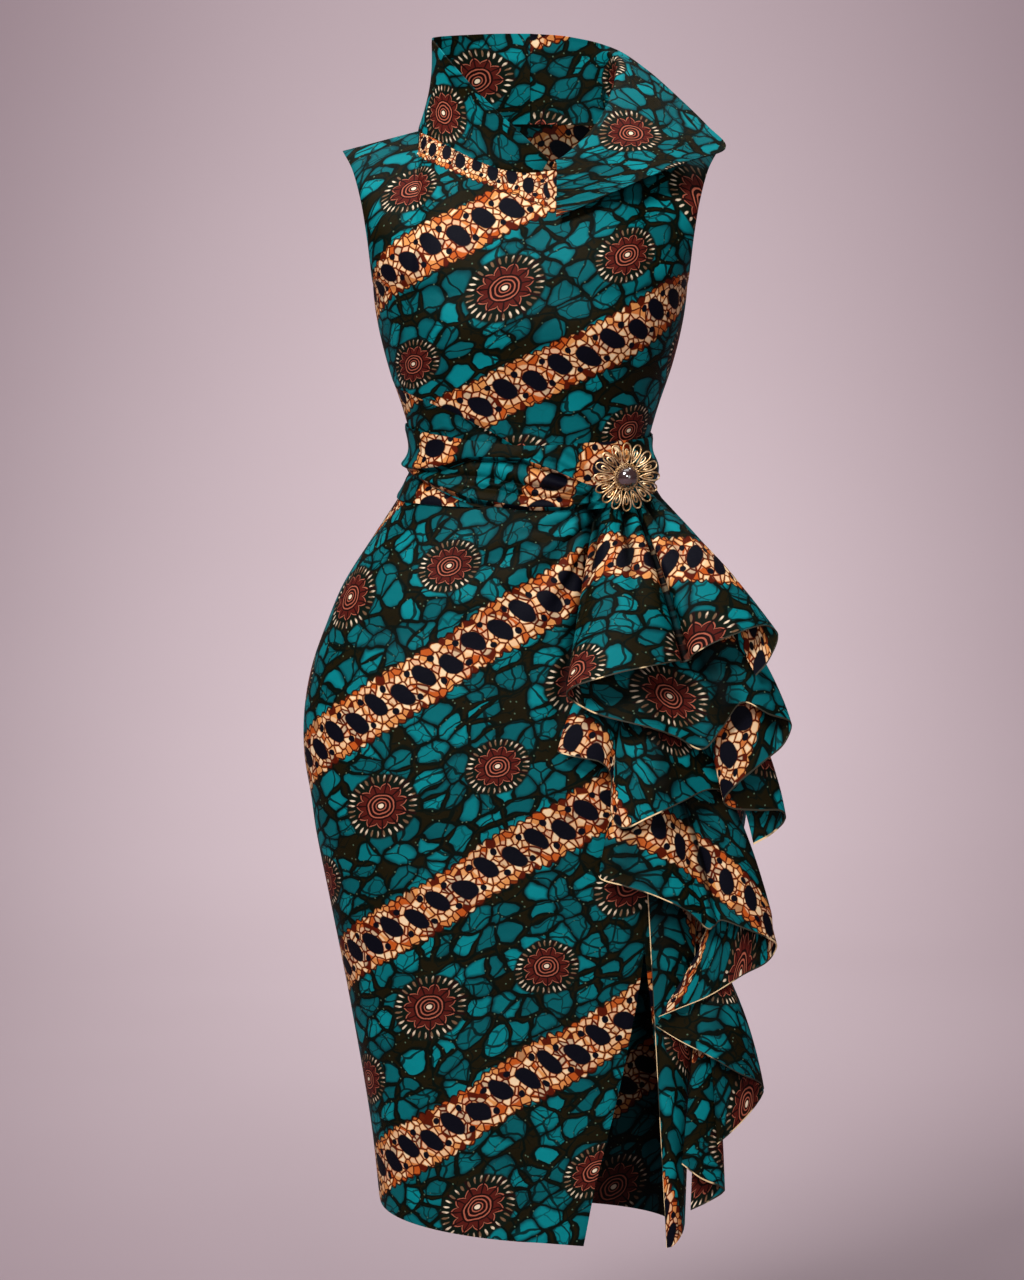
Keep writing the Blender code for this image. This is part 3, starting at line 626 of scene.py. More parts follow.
# Creases: two soft drags from the bust towards the waist, the drape that runs down under the sash to the
# brooch, and short strains at the armholes
BODICE_FOLDS = [
    (0.6, 3.2, 16, 2.6, -122, -224, -72, -242, -29, -264, 0, -283),
    (-0.6, -4, 2.4, 3, -110, -233, -72, -246, -30, -268, -2, -288),
    (-0.6, -1.2, 8, 8, -60, -243, -36, -260, -14, -276), (-0.8, -0.8, 12, 12, 62, -215, 78, -240, 84, -268),
    (-0.7, -0.7, 9, 9, -104, -212, -92, -240, -86, -270), (-0.6, -0.6, 8, 8, 126, -118, 108, -134, 92, -146),
    (-0.6, -0.6, 8, 8, -126, -118, -108, -134, -94, -148), (0.5, 0.5, 10, 10, 104, -228, 98, -250, 96, -274),
    (-0.5, -0.5, 9, 9, -24, -90, -4, -112, 30, -128),
]
BODICE_ROWS = np.concatenate([np.linspace(-1, 0, 45)[:-1], np.linspace(0, 1, 61)])
BODICE_REACH = (0, 0.7, SEAM / 2, SEAM / 2)  # the last row closes the shoulder seam
SHOULDER_BAND = dict(turn=-23.5, shift=-260, since=-136, until=16, finer=1.5)
cloth(
    "bodice_front", lambda u, v: bodice(1, u, v), crowded(125), BODICE_ROWS,
    printed_cotton(
        "bodice_print", 27, (12, 76.7), 159, SHOULDER_BAND, highest=2.0, tucks=[(0, -200, 0, -60)],
    ),
    flat=(0.45, 0.37), area=0.13, rests_on=["sash_front", "bodice_back_left"], folds=BODICE_FOLDS,
    tuck_lines=[BODICE_FOLDS[0][4:]] * 2, inside=INSIDE_SHADE, reach=BODICE_REACH,
)

# The backs of the bodice: a left and a right panel that meet at a centre back seam with a concealed zip, a
# pair of darts to the waist, and the same armhole turnings.

BACK_FOLDS = [
    (-0.9, -0.3, 3.5, 3.5, 58, -298, 60, -250, 64, -190), (-0.8, -0.8, 10, 10, 30, -276, 52, -262, 80, -250),
    (0.7, 0.7, 12, 12, 34, -262, 60, -246, 88, -232), (-0.6, -0.6, 9, 9, 118, -116, 96, -132, 74, -140),
    (-0.5, -0.5, 10, 10, 24, -286, 48, -279, 82, -274),
]
BACK_PRINT = printed_cotton("bodice_back_print", 27, (64, 62), 159)
for side_name, first, folds in (("left", 0.0, mirrored(BACK_FOLDS)), ("right", 0.5, BACK_FOLDS)):
    cloth(
        f"bodice_back_{side_name}", lambda u, v: bodice(-1, u, v) + [0, SEAM, 0],
        first + 0.5 * crowded(61, 0.003, 0.008, 0.016), BODICE_ROWS, BACK_PRINT, flat=(0.22, 0.36), area=0.06,
        rests_on=["bodice_front"], outside=-1, folds=folds, inside=INSIDE_SHADE, reach=BODICE_REACH,
    )


# The skirt: a wrap panel over the front whose edge makes the slit, the side panel behind the ruffle, and two
# backs, all of the same print and joined to the bodice at the waist under the sash. The hem is turned up and
# blind sewn.

HEM = dict(left_z=-1012, slit_z=-1041, centre_back_z=-1036, right_z=-1045)

# The slit: the wrap panel's edge and the side panel's edge, which meet above the opening: z, x
WRAP_EDGE = table([
    (-1060, 47), (-1041, 51), (-979, 63), (-931, 75), (-875, 88), (-823, 98), (-781, 105), (-751, 108),
    (-700, 107), (-600, 106), (-500, 104), (-400, 98), (-333, 90), (-290, 84),
])
SIDE_EDGE = table([
    (-1060, 134), (-1005, 131), (-965, 130), (-916, 126), (-868, 121), (-816, 116), (-781, 112),
    (-751, 108.6), (-700, 107.6), (-600, 106.6), (-500, 104.6), (-400, 98.6), (-333, 90.6), (-290, 84.6),
])

# Soft folds that fan out over the wrap panel from the gathers under the brooch
GATHER = dict(x=84, z=-326)
FAN = dict(folds=4, first=8, last=80, near=85, reach=75, out=5.0, rise=40)


def fan_fold(x, z):
    """How far the folds below the gathers lift the wrap panel here."""
    away, down = GATHER["x"] - x, GATHER["z"] - z
    radius = math.hypot(away, down)
    share = (math.degrees(math.atan2(down, away)) - FAN["first"]) / (FAN["last"] - FAN["first"])
    if not 0 < share < 1:
        return 0.0
    height = FAN["out"] * math.exp(-(((radius - FAN["near"]) / FAN["reach"]) ** 2))
    height *= min(1.0, radius / FAN["rise"])
    wave = 0.5 - 0.5 * math.cos(2 * math.pi * FAN["folds"] * share)
    return height * math.sin(math.pi * share) ** 0.5 * wave


def edge_angle(edge, z):
    """The angle of a panel's edge at this height. The edge is an angle, or a table of heights and places."""
    return edge if np.isscalar(edge) else angle_at(eased(z, edge[:, 0], edge[:, 1]), z)


def skirt(node, start, end, hem_start, hem_end, columns, rows, printed, gathered=False, outside=-1, **words):
    """A panel of the skirt round the body from one edge to another, from the waist down to its hem."""
    def surface(u, v):
        hem = HEM[hem_start] + (HEM[hem_end] - HEM[hem_start]) * u
        z = WAIST_Z - SEAM + (hem - WAIST_Z + SEAM) * v
        angle = edge_angle(start, z) + (edge_angle(end, z) - edge_angle(start, z)) * u
        return body(angle, z, fan_fold(body(angle, z)[0], z) if gathered else 0.0)

    cloth(node, surface, columns, rows, printed, outside, cut=lambda points: lengths(points, -1),
          inside=INSIDE_SHADE, **words)


# Creases of the wrap panel: the gathers under the brooch that fan down and to the left, the drags over the
# hip, and the long slack folds below
SKIRT_FOLDS = [
    (-6, -0.2, 4, 4, 62, -333, 30, -345, -2, -353, -40, -357),
    (-7, -0.2, 4, 5, 64, -340, 44, -357, 18, -375, -14, -393),
    (-6.5, -0.3, 5, 5, 62, -346, 52, -369, 38, -397, 16, -431),
    (-11, -3.5, 8, 8, 63, -336, 60, -372, 52, -412, 41, -456, 31, -500, 26, -530),
    (4.5, 0.2, 7, 3.5, 58, -336, 36, -349, 8, -361, -24, -370),
    (4.5, 0.2, 7, 3.5, 60, -343, 46, -363, 28, -386, 4, -412),
    (4, 0.2, 6, 4, 58, -352, 53, -374, 44, -404, 30, -442),
    (-0.9, -0.9, 13, 13, -118, -352, -84, -372, -40, -384),
    (0.9, 0.9, 16, 14, -150, -396, -104, -412, -52, -418, -6, -430),
    (-1, -1, 14, 16, -172, -436, -120, -448, -70, -452),
    (-1.1, -1.1, 20, 22, -150, -640, -80, -655, 0, -648, 60, -628),
    (0.9, 0.9, 24, 24, -130, -690, -60, -704, 20, -694),
    (-1, -1, 20, 20, -120, -806, -60, -812, 10, -796, 60, -776),
    (-0.8, -0.8, 14, 14, -40, -930, -10, -968, 4, -1010), (0.8, 0.8, 16, 16, 20, -900, 30, -950, 34, -1010),
]
SKIRT_PRINT = printed_cotton("skirt_print", 35, (0, 111.7), 185.5)
HEM_ROWS = (0.001, 0.003, 0.006)
skirt(
    "skirt_front", 179.97, WRAP_EDGE, "left_z", "slit_z", 1 - (1 - crowded(151)) ** 1.15,
    crowded(181, *HEM_ROWS) ** 1.35, SKIRT_PRINT, gathered=True, folds=SKIRT_FOLDS, flat=(0.39, 0.76),
    area=0.25, rests_on=["skirt_back_left", "ruffle_upper"],
)
skirt(
    "skirt_side", SIDE_EDGE, 0.03, "right_z", "right_z", crowded(45, 0.006, 0.014, 0.028),
    crowded(121, *HEM_ROWS), SKIRT_PRINT, flat=(0.18, 0.78), area=0.095, rests_on=["skirt_back_right"],
)
SKIRT_BACK_FOLDS = [
    (-0.9, -0.3, 3.5, 3.5, 52, -302, 56, -360, 62, -420), (-0.9, -0.9, 14, 14, 20, -348, 60, -356, 104, -352),
    (0.9, 0.9, 16, 16, 24, -384, 74, -392, 132, -384), (-1.1, -1.1, 22, 22, 20, -640, 80, -660, 150, -652),
    (1, 1, 24, 24, 16, -700, 70, -716, 140, -704), (-0.9, -0.9, 18, 18, 24, -800, 70, -820, 120, -812),
    (0.8, 0.8, 18, 18, 84, -900, 90, -960, 92, -1020),
]
SKIRT_BACK_PRINT = printed_cotton("skirt_back_print", 33, (40, 30), 185.5)
for side_name, start, end, hem_start, hem_end, folds in (
    ("left", -179.97, -90, "left_z", "centre_back_z", mirrored(SKIRT_BACK_FOLDS)),
    ("right", -90, -0.03, "centre_back_z", "right_z", SKIRT_BACK_FOLDS),
):
    skirt(
        f"skirt_back_{side_name}", start, end, hem_start, hem_end, crowded(71, 0.003, 0.008, 0.016),
        crowded(131, *HEM_ROWS), SKIRT_BACK_PRINT, folds=folds, flat=(0.3, 0.78), area=0.18,
        outside=1, rests_on=["skirt_front", "skirt_side"],
    )


# The sash: a bias strip folded into soft pleats that fan from the left side seam and gather hard under the
# brooch, sewn in at the side seams, with a plain band across the back.

# The sash's edges: x across the front, height of the upper and of the lower edge
SASH_EDGES = table([
    (-116, -261, -330), (-57, -268, -331), (0, -273, -333), (50, -271, -333), (80, -270, -329),
    (100, -270, -320), (116, -271, -314),
])
SASH = dict(ease=1.2, bump=21, bump_wide=25, brooch_x=90, brooch_z=-302)

# Pleats of the sash, each a lip over a sharp valley
SASH_FOLDS = [
    (5, 4.5, 12, 4, -116, -300, -86, -294, -57, -283, -10, -284, 24, -296, 58, -312),
    (5, 4.5, 9, 4, -116, -304, -86, -312, -57, -322, 0, -330, 34, -330, 60, -326),
    (-5.5, -6, 2.4, 3.2, -114, -303, -86, -298, -57, -287, -10, -288, 24, -300, 58, -315),
    (-5.5, -6, 2.4, 3.2, -114, -307, -86, -316, -57, -327, 0, -335, 34, -334, 60, -329),
    (-1.2, -7.5, 3.4, 2.6, -100, -302, -48, -303, 8, -313, 58, -321),
    (-1.2, -7.5, 3.4, 2.6, -72, -311, -30, -315, 10, -322, 58, -324),
    (-1.2, -7, 3.4, 2.6, -8, -283, 24, -290, 44, -301, 58, -311),
    (-1, -6, 3.2, 2.6, 26, -277, 46, -290, 60, -306), (2, 4, 5, 5, -44, -308, 6, -317, 54, -322),
    (2, 4, 5, 5, -36, -295, 10, -304, 54, -316), (-3, -4, 3, 3, -60, -337, -20, -340, 20, -340, 58, -333),
]


def sash_surface(u, v):
    """The sash over the front: u from the left side seam to the right one, v from its lower edge to its
    upper."""
    angle = 180 * (1 - u)
    x = body(angle, WAIST_Z)[0]
    top, bottom = eased(x, SASH_EDGES[:, 0], SASH_EDGES[:, 1:])
    z = bottom + (top - bottom) * v
    away = ((x - SASH["brooch_x"]) ** 2 + (z - SASH["brooch_z"]) ** 2) / SASH["bump_wide"] ** 2
    bump = SASH["bump"] * math.exp(-away) * min(1.0, (1 - u) * 9) * math.sin(math.pi * v) ** 0.6
    return body(angle, z, LAY + SASH["ease"] + 0.6 + bump)


def sash_back(u, v):
    _, top, bottom = SASH_EDGES[0] + (SASH_EDGES[-1] - SASH_EDGES[0]) * u
    return body(-180 * (1 - u), bottom + (top - bottom) * v, LAY + SASH["ease"]) + [0, SEAM, 0]


SASH_TUCKS = [(0, -200, -120, 0), (1, -200, 109, 0), (1, -57, -85, 0)]
SASH_PRINT = printed_cotton("sash_print", 75, (0, -104), 160, flowers=0.0, tucks=SASH_TUCKS)
cloth(
    "sash_front", sash_surface, crowded(181), crowded(65, 0.01, 0.025), SASH_PRINT, flat=(0.38, 0.1),
    area=0.032, held="gathered", rests_on=["bodice_front", "skirt_front", "brooch_flower"],
    folds=SASH_FOLDS, turned=1.0, tuck_lines=[SASH_FOLDS[0][4:], SASH_FOLDS[1][4:]],
)
SASH_BACK_FOLDS = [
    (0.9, 0.2, 7, 3, 112, -288, 70, -292, 30, -296), (-0.8, -0.3, 5, 5, 112, -304, 76, -306, 44, -304),
    (0.8, 0.2, 6, 3, 112, -276, 84, -280, 40, -281),
]
SASH_BACK_PRINT = printed_cotton("sash_back_print", 75, (0, -104), 160, flowers=0.0)
for side_name, first, folds in (("left", 0.0, mirrored(SASH_BACK_FOLDS)), ("right", 0.5006, SASH_BACK_FOLDS)):
    cloth(
        f"sash_back_{side_name}", sash_back, first + 0.4994 * crowded(71, 0.006, 0.015),
        crowded(33, 0.02, 0.05), SASH_BACK_PRINT, flat=(0.17, 0.075), area=0.0105,
        rests_on=["bodice_back_left", "skirt_back_left"], outside=-1, folds=folds, turned=0.8,
    )


# The collar: a firm stand of interfaced cotton that crosses at the front. The left half stands up round the
# neck, and the right half rolls over into a wide pointed wing. Both are sewn to the neck edge.

# The left half, from the crossing at the front round to the centre back: the angle of its foot on the
# neckline from the centre front, and its upper edge's x, y, z
COLLAR_LEFT = table([
    (-6, 17, -88, -5), (10, -2, -86, 13), (25, -24, -80, 33), (42, -50, -68, 58), (60, -72, -48, 81),
    (76, -86, -25, 97), (92, -93, -2, 105), (110, -88, 22, 107), (132, -66, 42, 108), (156, -34, 56, 109),
    (179.8, -0.3, 60, 109),
])
STAND_BOW = 5  # how far the stand's middle bows in towards the neck

# The right half, from the centre back to the front: angle of its foot from the centre back, the roll where it
# turns outward, and its outer edge
COLLAR_RIGHT = table([
    (0.2, 0.3, 63, 64, 0.3, 60, 109), (28, 40, 61, 74, 38, 56, 106), (52, 68, 45, 90, 78, 44, 96),
    (72, 76, 20, 92, 112, 20, 74), (88, 75, -4, 82, 142, -4, 48), (104, 70, -27, 68, 167, -28, 24),
    (118, 65, -46, 52, 184, -48, 4), (130, 60, -60, 39, 150, -70, -7), (142, 53, -72, 27, 118, -88, -18),
    (155, 45, -82, 15, 86, -101, -31), (165, 35, -90, 4, 52, -110, -46), (169, 25, -94, -3, 24, -113, -57),
])
ROLL_ROUND = 0.16
FOOT_LIFT = np.array([0, 0, CLOTH / 2 + 0.7])


def collar_left(u, v):
    row = along(COLLAR_LEFT, u)
    foot = neckline(-row[0]) + FOOT_LIFT
    bow = -STAND_BOW * math.sin(math.pi * v) * np.array([foot[0], foot[1], 0]) / NECK["half_width"]
    return foot + (row[1:] - foot) * v + bow * min(1.0, row[0] / 60 + 0.1)


def collar_right(u, v):
    row = along(COLLAR_RIGHT, u)
    foot, roll, edge = neckline(180 - row[0]) + FOOT_LIFT, row[1:4], row[4:]
    if v < 0.5 - ROLL_ROUND:
        return foot + (roll - foot) * v / 0.5
    if v > 0.5 + ROLL_ROUND:
        return roll + (edge - roll) * (v - 0.5) / 0.5
    start = foot + (roll - foot) * (0.5 - ROLL_ROUND) / 0.5
    end = roll + (edge - roll) * ROLL_ROUND / 0.5
    t = (v - 0.5 + ROLL_ROUND) / (2 * ROLL_ROUND)
    return (1 - t) ** 2 * start + 2 * t * (1 - t) * roll + t**2 * end


COLLAR = dict(outside=-1, thickness=1.5, cut=from_first)
cloth(
    "collar_left", collar_left, crowded(101), crowded(45, 0.01, 0.025),
    printed_cotton("collar_left_print", 205, (0, 70), 230), flat=(0.31, 0.1), area=0.021,
    rests_on=["bodice_front", "bodice_back_left"], reach=(1.2, 0, 0, 0.3), **COLLAR,
)
cloth(
    "collar_right", collar_right, crowded(131), crowded(81, 0.006, 0.015),
    printed_cotton("collar_right_print", 200, (0, 90), 190), flat=(0.44, 0.16), area=0.034,
    rests_on=["bodice_front", "bodice_back_right"], reach=(1.2, 0, 0.3, 0), **COLLAR,
)


# The waterfall ruffle: circular strips of the same cotton, gathered at their inner edge under the brooch and
# sewn down the side of the wrap panel, whose free edge falls in deep waves. The edge is rolled and shows pale
# thread, with painted glints of light along it.

SHIELD = 75  # how much wider than the body the surface is that the ruffle's depths are worked out from
FLAT_STAND = 0.2  # how much further than a seam's gap a sewn edge stands off the flat panels
SEWN_STAND = {"ruffle_upper": 2}  # the same over the gathers, where the panel is folded

# A strip for each stretch. A row is one rib of the cloth: where it is sewn to the skirt (x and height), the
# point of the free edge that it ends in (x, height and depth), how far it swells between the two, and how
# soon it turns down: 0 is straight and 1 runs out level first, then falls
RUFFLE = {
    "ruffle_upper": [
        (114, -356, 212, -487, 42, 0, 0.2), (118, -343, 224, -473, 48, 2, 0.2),
        (116, -323, 233, -450, 54, 6, 0.15), (110, -324, 219, -439, 60, 9, 0.1),
        (105, -327, 192, -445, 62, 12, 0.1), (102, -329, 167, -455, 58, 12, 0.1),
        (100, -331, 153, -465, 47, 8, 0.1), (98, -332, 147, -471, 40, 4, 0.1),
        (95, -332.5, 137, -470, 50, 8, 0.1), (90, -333, 117, -472, 62, 12, 0.1),
        (82, -334, 88, -477, 66, 14, 0.1), (73, -336, 60, -485, 62, 11, 0.1),
        (65, -338, 40, -493, 54, 7, 0.1), (58, -345, 34, -502, 46, 3, 0.1), (59, -357, 47, -513, 38, 0, 0.1),
        (71, -365, 68, -523, 34, 0, 0.1), (84, -369, 112, -534, 38, 2, 0.1),
        (93, -372, 137, -544, 32, 0, 0.1), (100, -374, 162, -557, 27, 0, 0.1),
        (105, -375, 180, -538, 28, 0, 0.2), (110, -374, 199, -513, 33, 2, 0.3),
        (116, -374, 225, -525, 37, 3, 0.45), (122, -379, 246, -535, 33, 0, 0.5),
        (123, -389, 240, -555, 28, -2, 0.5), (120, -399, 222, -570, 26, 0, 0.45),
        (115, -407, 197, -590, 24, 0, 0.3), (113, -419, 183, -607, 20, -2, 0.3),
        (117, -430, 191, -616, 16, -5, 0.4), (123, -435, 215, -619, 18, -6, 0.5),
        (129, -439, 237, -621, 18, -6, 0.6), (133, -448, 242, -631, 14, -7, 0.6),
        (132, -460, 229, -644, 10, -8, 0.5), (127, -470, 212, -653, 8, -8, 0.4),
    ],
    "ruffle_middle": [
        (96, -470, 58, -555, 8, 0, 0.4), (89, -463, 37, -556, 10, 0, 0.4), (86, -452, 26, -559, 15, 0, 0.4),
        (91, -444, 45, -564, 20, 2, 0.4), (98, -444, 66, -569, 20, 2, 0.4), (102, -449, 76, -584, 15, 0, 0.4),
        (104, -455, 76, -616, 17, 0, 0.4), (107, -459, 87, -631, 26, 2, 0.4),
        (111, -462, 112, -620, 31, 3, 0.3), (115, -464, 142, -607, 25, 2, 0.2),
        (118, -468, 166, -598, 12, -1, 0.2), (122, -472, 186, -600, 2, -3, 0.2),
    ],
    "ruffle_lower": [
        (106, -590, 85, -664, 8, 0, 0.4), (100, -583, 69, -673, 11, 0, 0.4), (97, -573, 67, -681, 18, 0, 0.5),
        (100, -564, 90, -687, 26, 2, 0.4), (106, -562, 118, -696, 30, 3, 0.2),
        (112, -563, 148, -712, 26, 1, 0.2), (118, -564, 167, -731, 18, -2, 0.2),
        (125, -565, 174, -729, 16, -4, 0.2), (134, -566, 182, -724, 17, -6, 0.2),
        (146, -567, 203, -732, 24, -8, 0.2), (160, -571, 224, -742, 26, -8, 0.2),
        (172, -581, 235, -753, 21, -8, 0.2), (177, -602, 226, -769, 13, -8, 0.2),
        (175, -640, 203, -780, 9, -5, 0.2), (174, -680, 170, -798, 10, -2, 0.1),
        (176, -708, 143, -808, 11, 0, 0.1), (178, -728, 122, -816, 11, 0, 0),
    ],
    "ruffle_calf": [
        (167, -753, 119, -826, 6, 0, 0), (170, -748, 142, -841, 7, 0, 0), (174, -749, 170, -856, 14, 0, 0.2),
        (177, -755, 200, -875, 22, 2, 0.4), (178, -763, 218, -886, 20, 1, 0.4),
        (177, -771, 224, -897, 16, -1, 0.4), (174, -779, 216, -911, 13, -3, 0.4),
        (169, -787, 198, -929, 12, -3, 0.3), (163, -793, 179, -944, 12, -2, 0.2),
    ],
    "ruffle_foot": [
        (158, -806, 145, -962, 8, -1, 0), (162, -799, 163, -977, 9, -1, 0.2),
        (167, -802, 181, -987, 7, -2, 0.4), (168, -812, 186, -994, 2, -4, 0.5),
        (165, -824, 172, -1003, -4, -5, 0.4), (160, -834, 154, -1011, -8, -5, 0.2),
    ],
    "ruffle_tail": [
        (110, -690, 131, -1045, -2, 0, 0), (120, -682, 136, -1043, 2, 1, 0), (133, -680, 141, -1038, 2, 0, 0),
        (147, -683, 146, -1031, -4, -3, 0), (158, -692, 148, -1025, -12, -7, 0),
    ],
}


def shield(x, z):
    """The depth of a smooth surface round the front and right of the hips, a little outside the body."""
    half, front, _ = section(z)
    return -front * max(0.0, 1 - (abs(x) / (half + SHIELD)) ** BODY_ROUND) ** (1 / BODY_ROUND)


def ruffle_surface(ribs, stand):
    def surface(u, v):
        sewn_x, sewn_z, edge_x, edge_z, edge_out, swell, fall = along(ribs, u)
        sewn = body(angle_at(sewn_x, sewn_z), sewn_z, LAY + stand + fan_fold(sewn_x, sewn_z))
        turn = math.pi / 2 * v
        x = sewn[0] + (edge_x - sewn[0]) * ((1 - fall) * v + fall * math.sin(turn))
        z = sewn[2] + (edge_z - sewn[2]) * ((1 - fall) * v + fall * (1 - math.cos(turn)))
        sewn_out = shield(sewn[0], sewn[2]) - sewn[1]
        out = sewn_out * (1 - v) ** 4 + edge_out * v + swell * math.sin(math.pi * v)
        return np.array([x, shield(x, z) - out, z])

    return surface


def flounce(points):
    """The map of a strip cut as part of a ring, with the sewn edge as its inner arc."""
    sewn, free = [
        np.linalg.norm(np.diff(edge, axis=0, prepend=edge[:1]), axis=1) for edge in (points[0], points[-1])
    ]
    deep = run(points, 0)
    whole_turn = max(free.sum() - sewn.sum(), 1.0) / deep[-1].mean()
    inner = sewn.sum() / whole_turn
    turn = np.cumsum((free + sewn) / 2) / (inner + deep[-1].mean() / 2)
    radius = inner + deep
    return np.stack([radius * np.sin(turn), -radius * np.cos(turn)], axis=2) * MM


def object_place(shader):
    """The object's own coordinates, for the shader's tree."""
    return add(shader.id_data, "TexCoord", {}, output=3)


# The rolled edge: dark thread with cream patches, more of them lower down, partly pale thread and partly
# painted glints of light
RUFFLE_EDGE, edge_shader = material("ruffle_edge_thread_and_glint")
edge_place = object_place(edge_shader)
height = add(edge_place.tree, "SeparateXYZ", {0: edge_place}, output=2)
thread_and_glint = ease(noise(edge_place, 22.0, 3.0, "3D") - height * 0.36, 0.775, 0.825)
connect(edge_shader, {"Base Color": over(paint(40, 36, 18), (thread_and_glint, paint(230, 196, 146))), "Roughness": 0.7})

# Pleats that spring from the gathers, and slacker ripples further down. Across is 15 for each rib of the
# strip, and down is 120 from the sewn edge to the free one
RIB_STEP, DEEP = 15, 120
RUFFLE_FOLDS = {
    "ruffle_upper": [
        (-4, -0.3, 4, 4, 36, 0, 34, 30, 30, 60), (3.5, 0.5, 6, 6, 50, 0, 48, 34, 46, 76),
        (-5.5, -0.4, 4, 4, 64, 0, 63, 30, 61, 70), (4.5, 2.5, 6, 7, 84, 0, 84, 50, 84, 116),
        (-8, -7, 6, 6, 105, 0, 105, 50, 106, 118), (4, 2, 7, 6, 127, 0, 127, 50, 127, 110),
        (-7, -0.4, 5, 5, 142, 0, 142, 34, 141, 76), (5, 0.4, 8, 8, 164, 0, 164, 34, 163, 76),
        (-5.5, -0.4, 5, 5, 182, 0, 182, 34, 182, 76), (-5.5, -3, 6, 6, 234, 10, 236, 60, 240, 110),
        (3, 0.4, 8, 8, 262, 0, 262, 50, 258, 100), (-8, -6, 7, 8, 290, 0, 291, 50, 292, 112),
        (3, 0.4, 7, 7, 326, 0, 326, 50, 328, 100), (-6.5, -4, 6, 7, 352, 0, 350, 50, 348, 110),
        (-6.5, -4, 7, 6, 414, 0, 412, 50, 410, 110), (3, 0.4, 7, 7, 448, 0, 448, 50, 446, 100),
    ],
    "ruffle_middle": [
        (-5.5, -2, 6, 6, 24, 0, 24, 50, 22, 100), (3.5, 0.5, 7, 7, 96, 0, 100, 50, 104, 104),
        (-7, -4.5, 6, 6, 118, 0, 122, 50, 128, 104), (3, 0.5, 7, 7, 142, 0, 144, 50, 146, 90),
    ],
    "ruffle_lower": [
        (-6, -3, 6, 6, 50, 0, 48, 50, 44, 104), (3.5, 0.5, 8, 8, 76, 0, 76, 50, 74, 100),
        (-7, -5, 6, 7, 104, 0, 104, 50, 104, 112), (3, 0.5, 8, 8, 132, 0, 136, 50, 140, 100),
        (-6, -3, 6, 6, 158, 0, 162, 50, 166, 100), (3, 0.5, 8, 8, 196, 0, 198, 50, 200, 100),
    ],
    "ruffle_calf": [
        (-5, -2.5, 6, 6, 28, 0, 32, 50, 36, 100), (3, 0.5, 7, 7, 60, 0, 62, 50, 64, 100),
        (-5, -2.5, 6, 6, 92, 0, 94, 50, 96, 100),
    ],
}
RUFFLE_CUTS = {
    # piece: columns, rows, turn, shift, painted shadow at the sewn edge, flat width, flat length, flat area
    "ruffle_upper": (385, 61, 54, (0, 20), 0.5, 0.64, 0.285, 0.11),
    "ruffle_middle": (121, 51, 177, (0, 20), 0.95, 0.25, 0.155, 0.023),
    "ruffle_lower": (193, 51, 156, (0, 25), 0.95, 0.37, 0.16, 0.04),
    "ruffle_calf": (97, 41, 177, (0, 145), 0.95, 0.21, 0.14, 0.0185),
    "ruffle_foot": (61, 41, 177, (0, 45), 0.95, 0.1, 0.185, 0.0135),
    "ruffle_tail": (51, 101, 117, (0, 72), 0.95, 0.06, 0.36, 0.0165),
}
for name, (columns, rows, turn, shift, root_shadow, width, length, area) in RUFFLE_CUTS.items():
    columns, rows = np.linspace(0, 1, columns), np.append(np.linspace(0, 0.992, rows), 1)
    ribs = table(RUFFLE[name])
    fold_places = np.stack(np.meshgrid(columns * (len(ribs) - 1) * RIB_STEP, rows * DEEP), axis=2)
    cloth(
        name, ruffle_surface(ribs, SEWN_STAND.get(name, FLAT_STAND)), columns, rows,
        printed_cotton(f"{name}_print", turn, shift, 185), flat=(width, length), area=area, held="gathered",
        rests_on=["skirt_front", "skirt_side"], folds=RUFFLE_FOLDS.get(name, ()), fold_places=fold_places,
        cut=flounce, edge=RUFFLE_EDGE, edge_line="sides" if name == "ruffle_tail" else "end", turned=0,
        thickness=1.3, reach=(0, 0, 0, 0), root_shadow=root_shadow,
    )


# The brooch: an open flower of sixteen looped petals in old gold wire, each with a smaller loop inside it,
# round a beaded ring and a domed brown glass pearl. It is pinned through the sash.

BROOCH = dict(tilt=15, petals=16, pearl=11, wire=0.8, beads=30, bead_ring=12.6, boss=10, boss_long=7)
OUTER_LOOP = dict(low=13.5, high=31.95, wide=10.4)
INNER_LOOP = dict(low=17.5, high=26.0, wide=4.2, rise=-0.4)
WAVE = 0.5  # every second outer loop rises by this much, and the others sink
PEARL = BROOCH["pearl"] * MM
pearl_low, pearl_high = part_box("brooch_pearl")
PEARL_PLACE = Vector((pearl_high.x - PEARL, pearl_low.y + PEARL, (pearl_low.z + pearl_high.z) / 2))
BROOCH_STAND = (
    Matrix.Translation(PEARL_PLACE)
    @ Matrix.Rotation(math.radians(BROOCH["tilt"]), 4, "Z")
    @ Matrix.Rotation(math.radians(90), 4, "X")
)

old_gold, gold_shader = material("old_gold_wire")
tarnish = noise(object_place(gold_shader), 260.0, 3.0, "3D")
gold_colour = over(paint(178, 138, 92), (ease(tarnish, 0.38, 0.66), paint(244, 212, 168)))
connect(gold_shader, {"Base Color": gold_colour, "Roughness": 0.36 + tarnish * 0.2, "Metallic": 1.0})


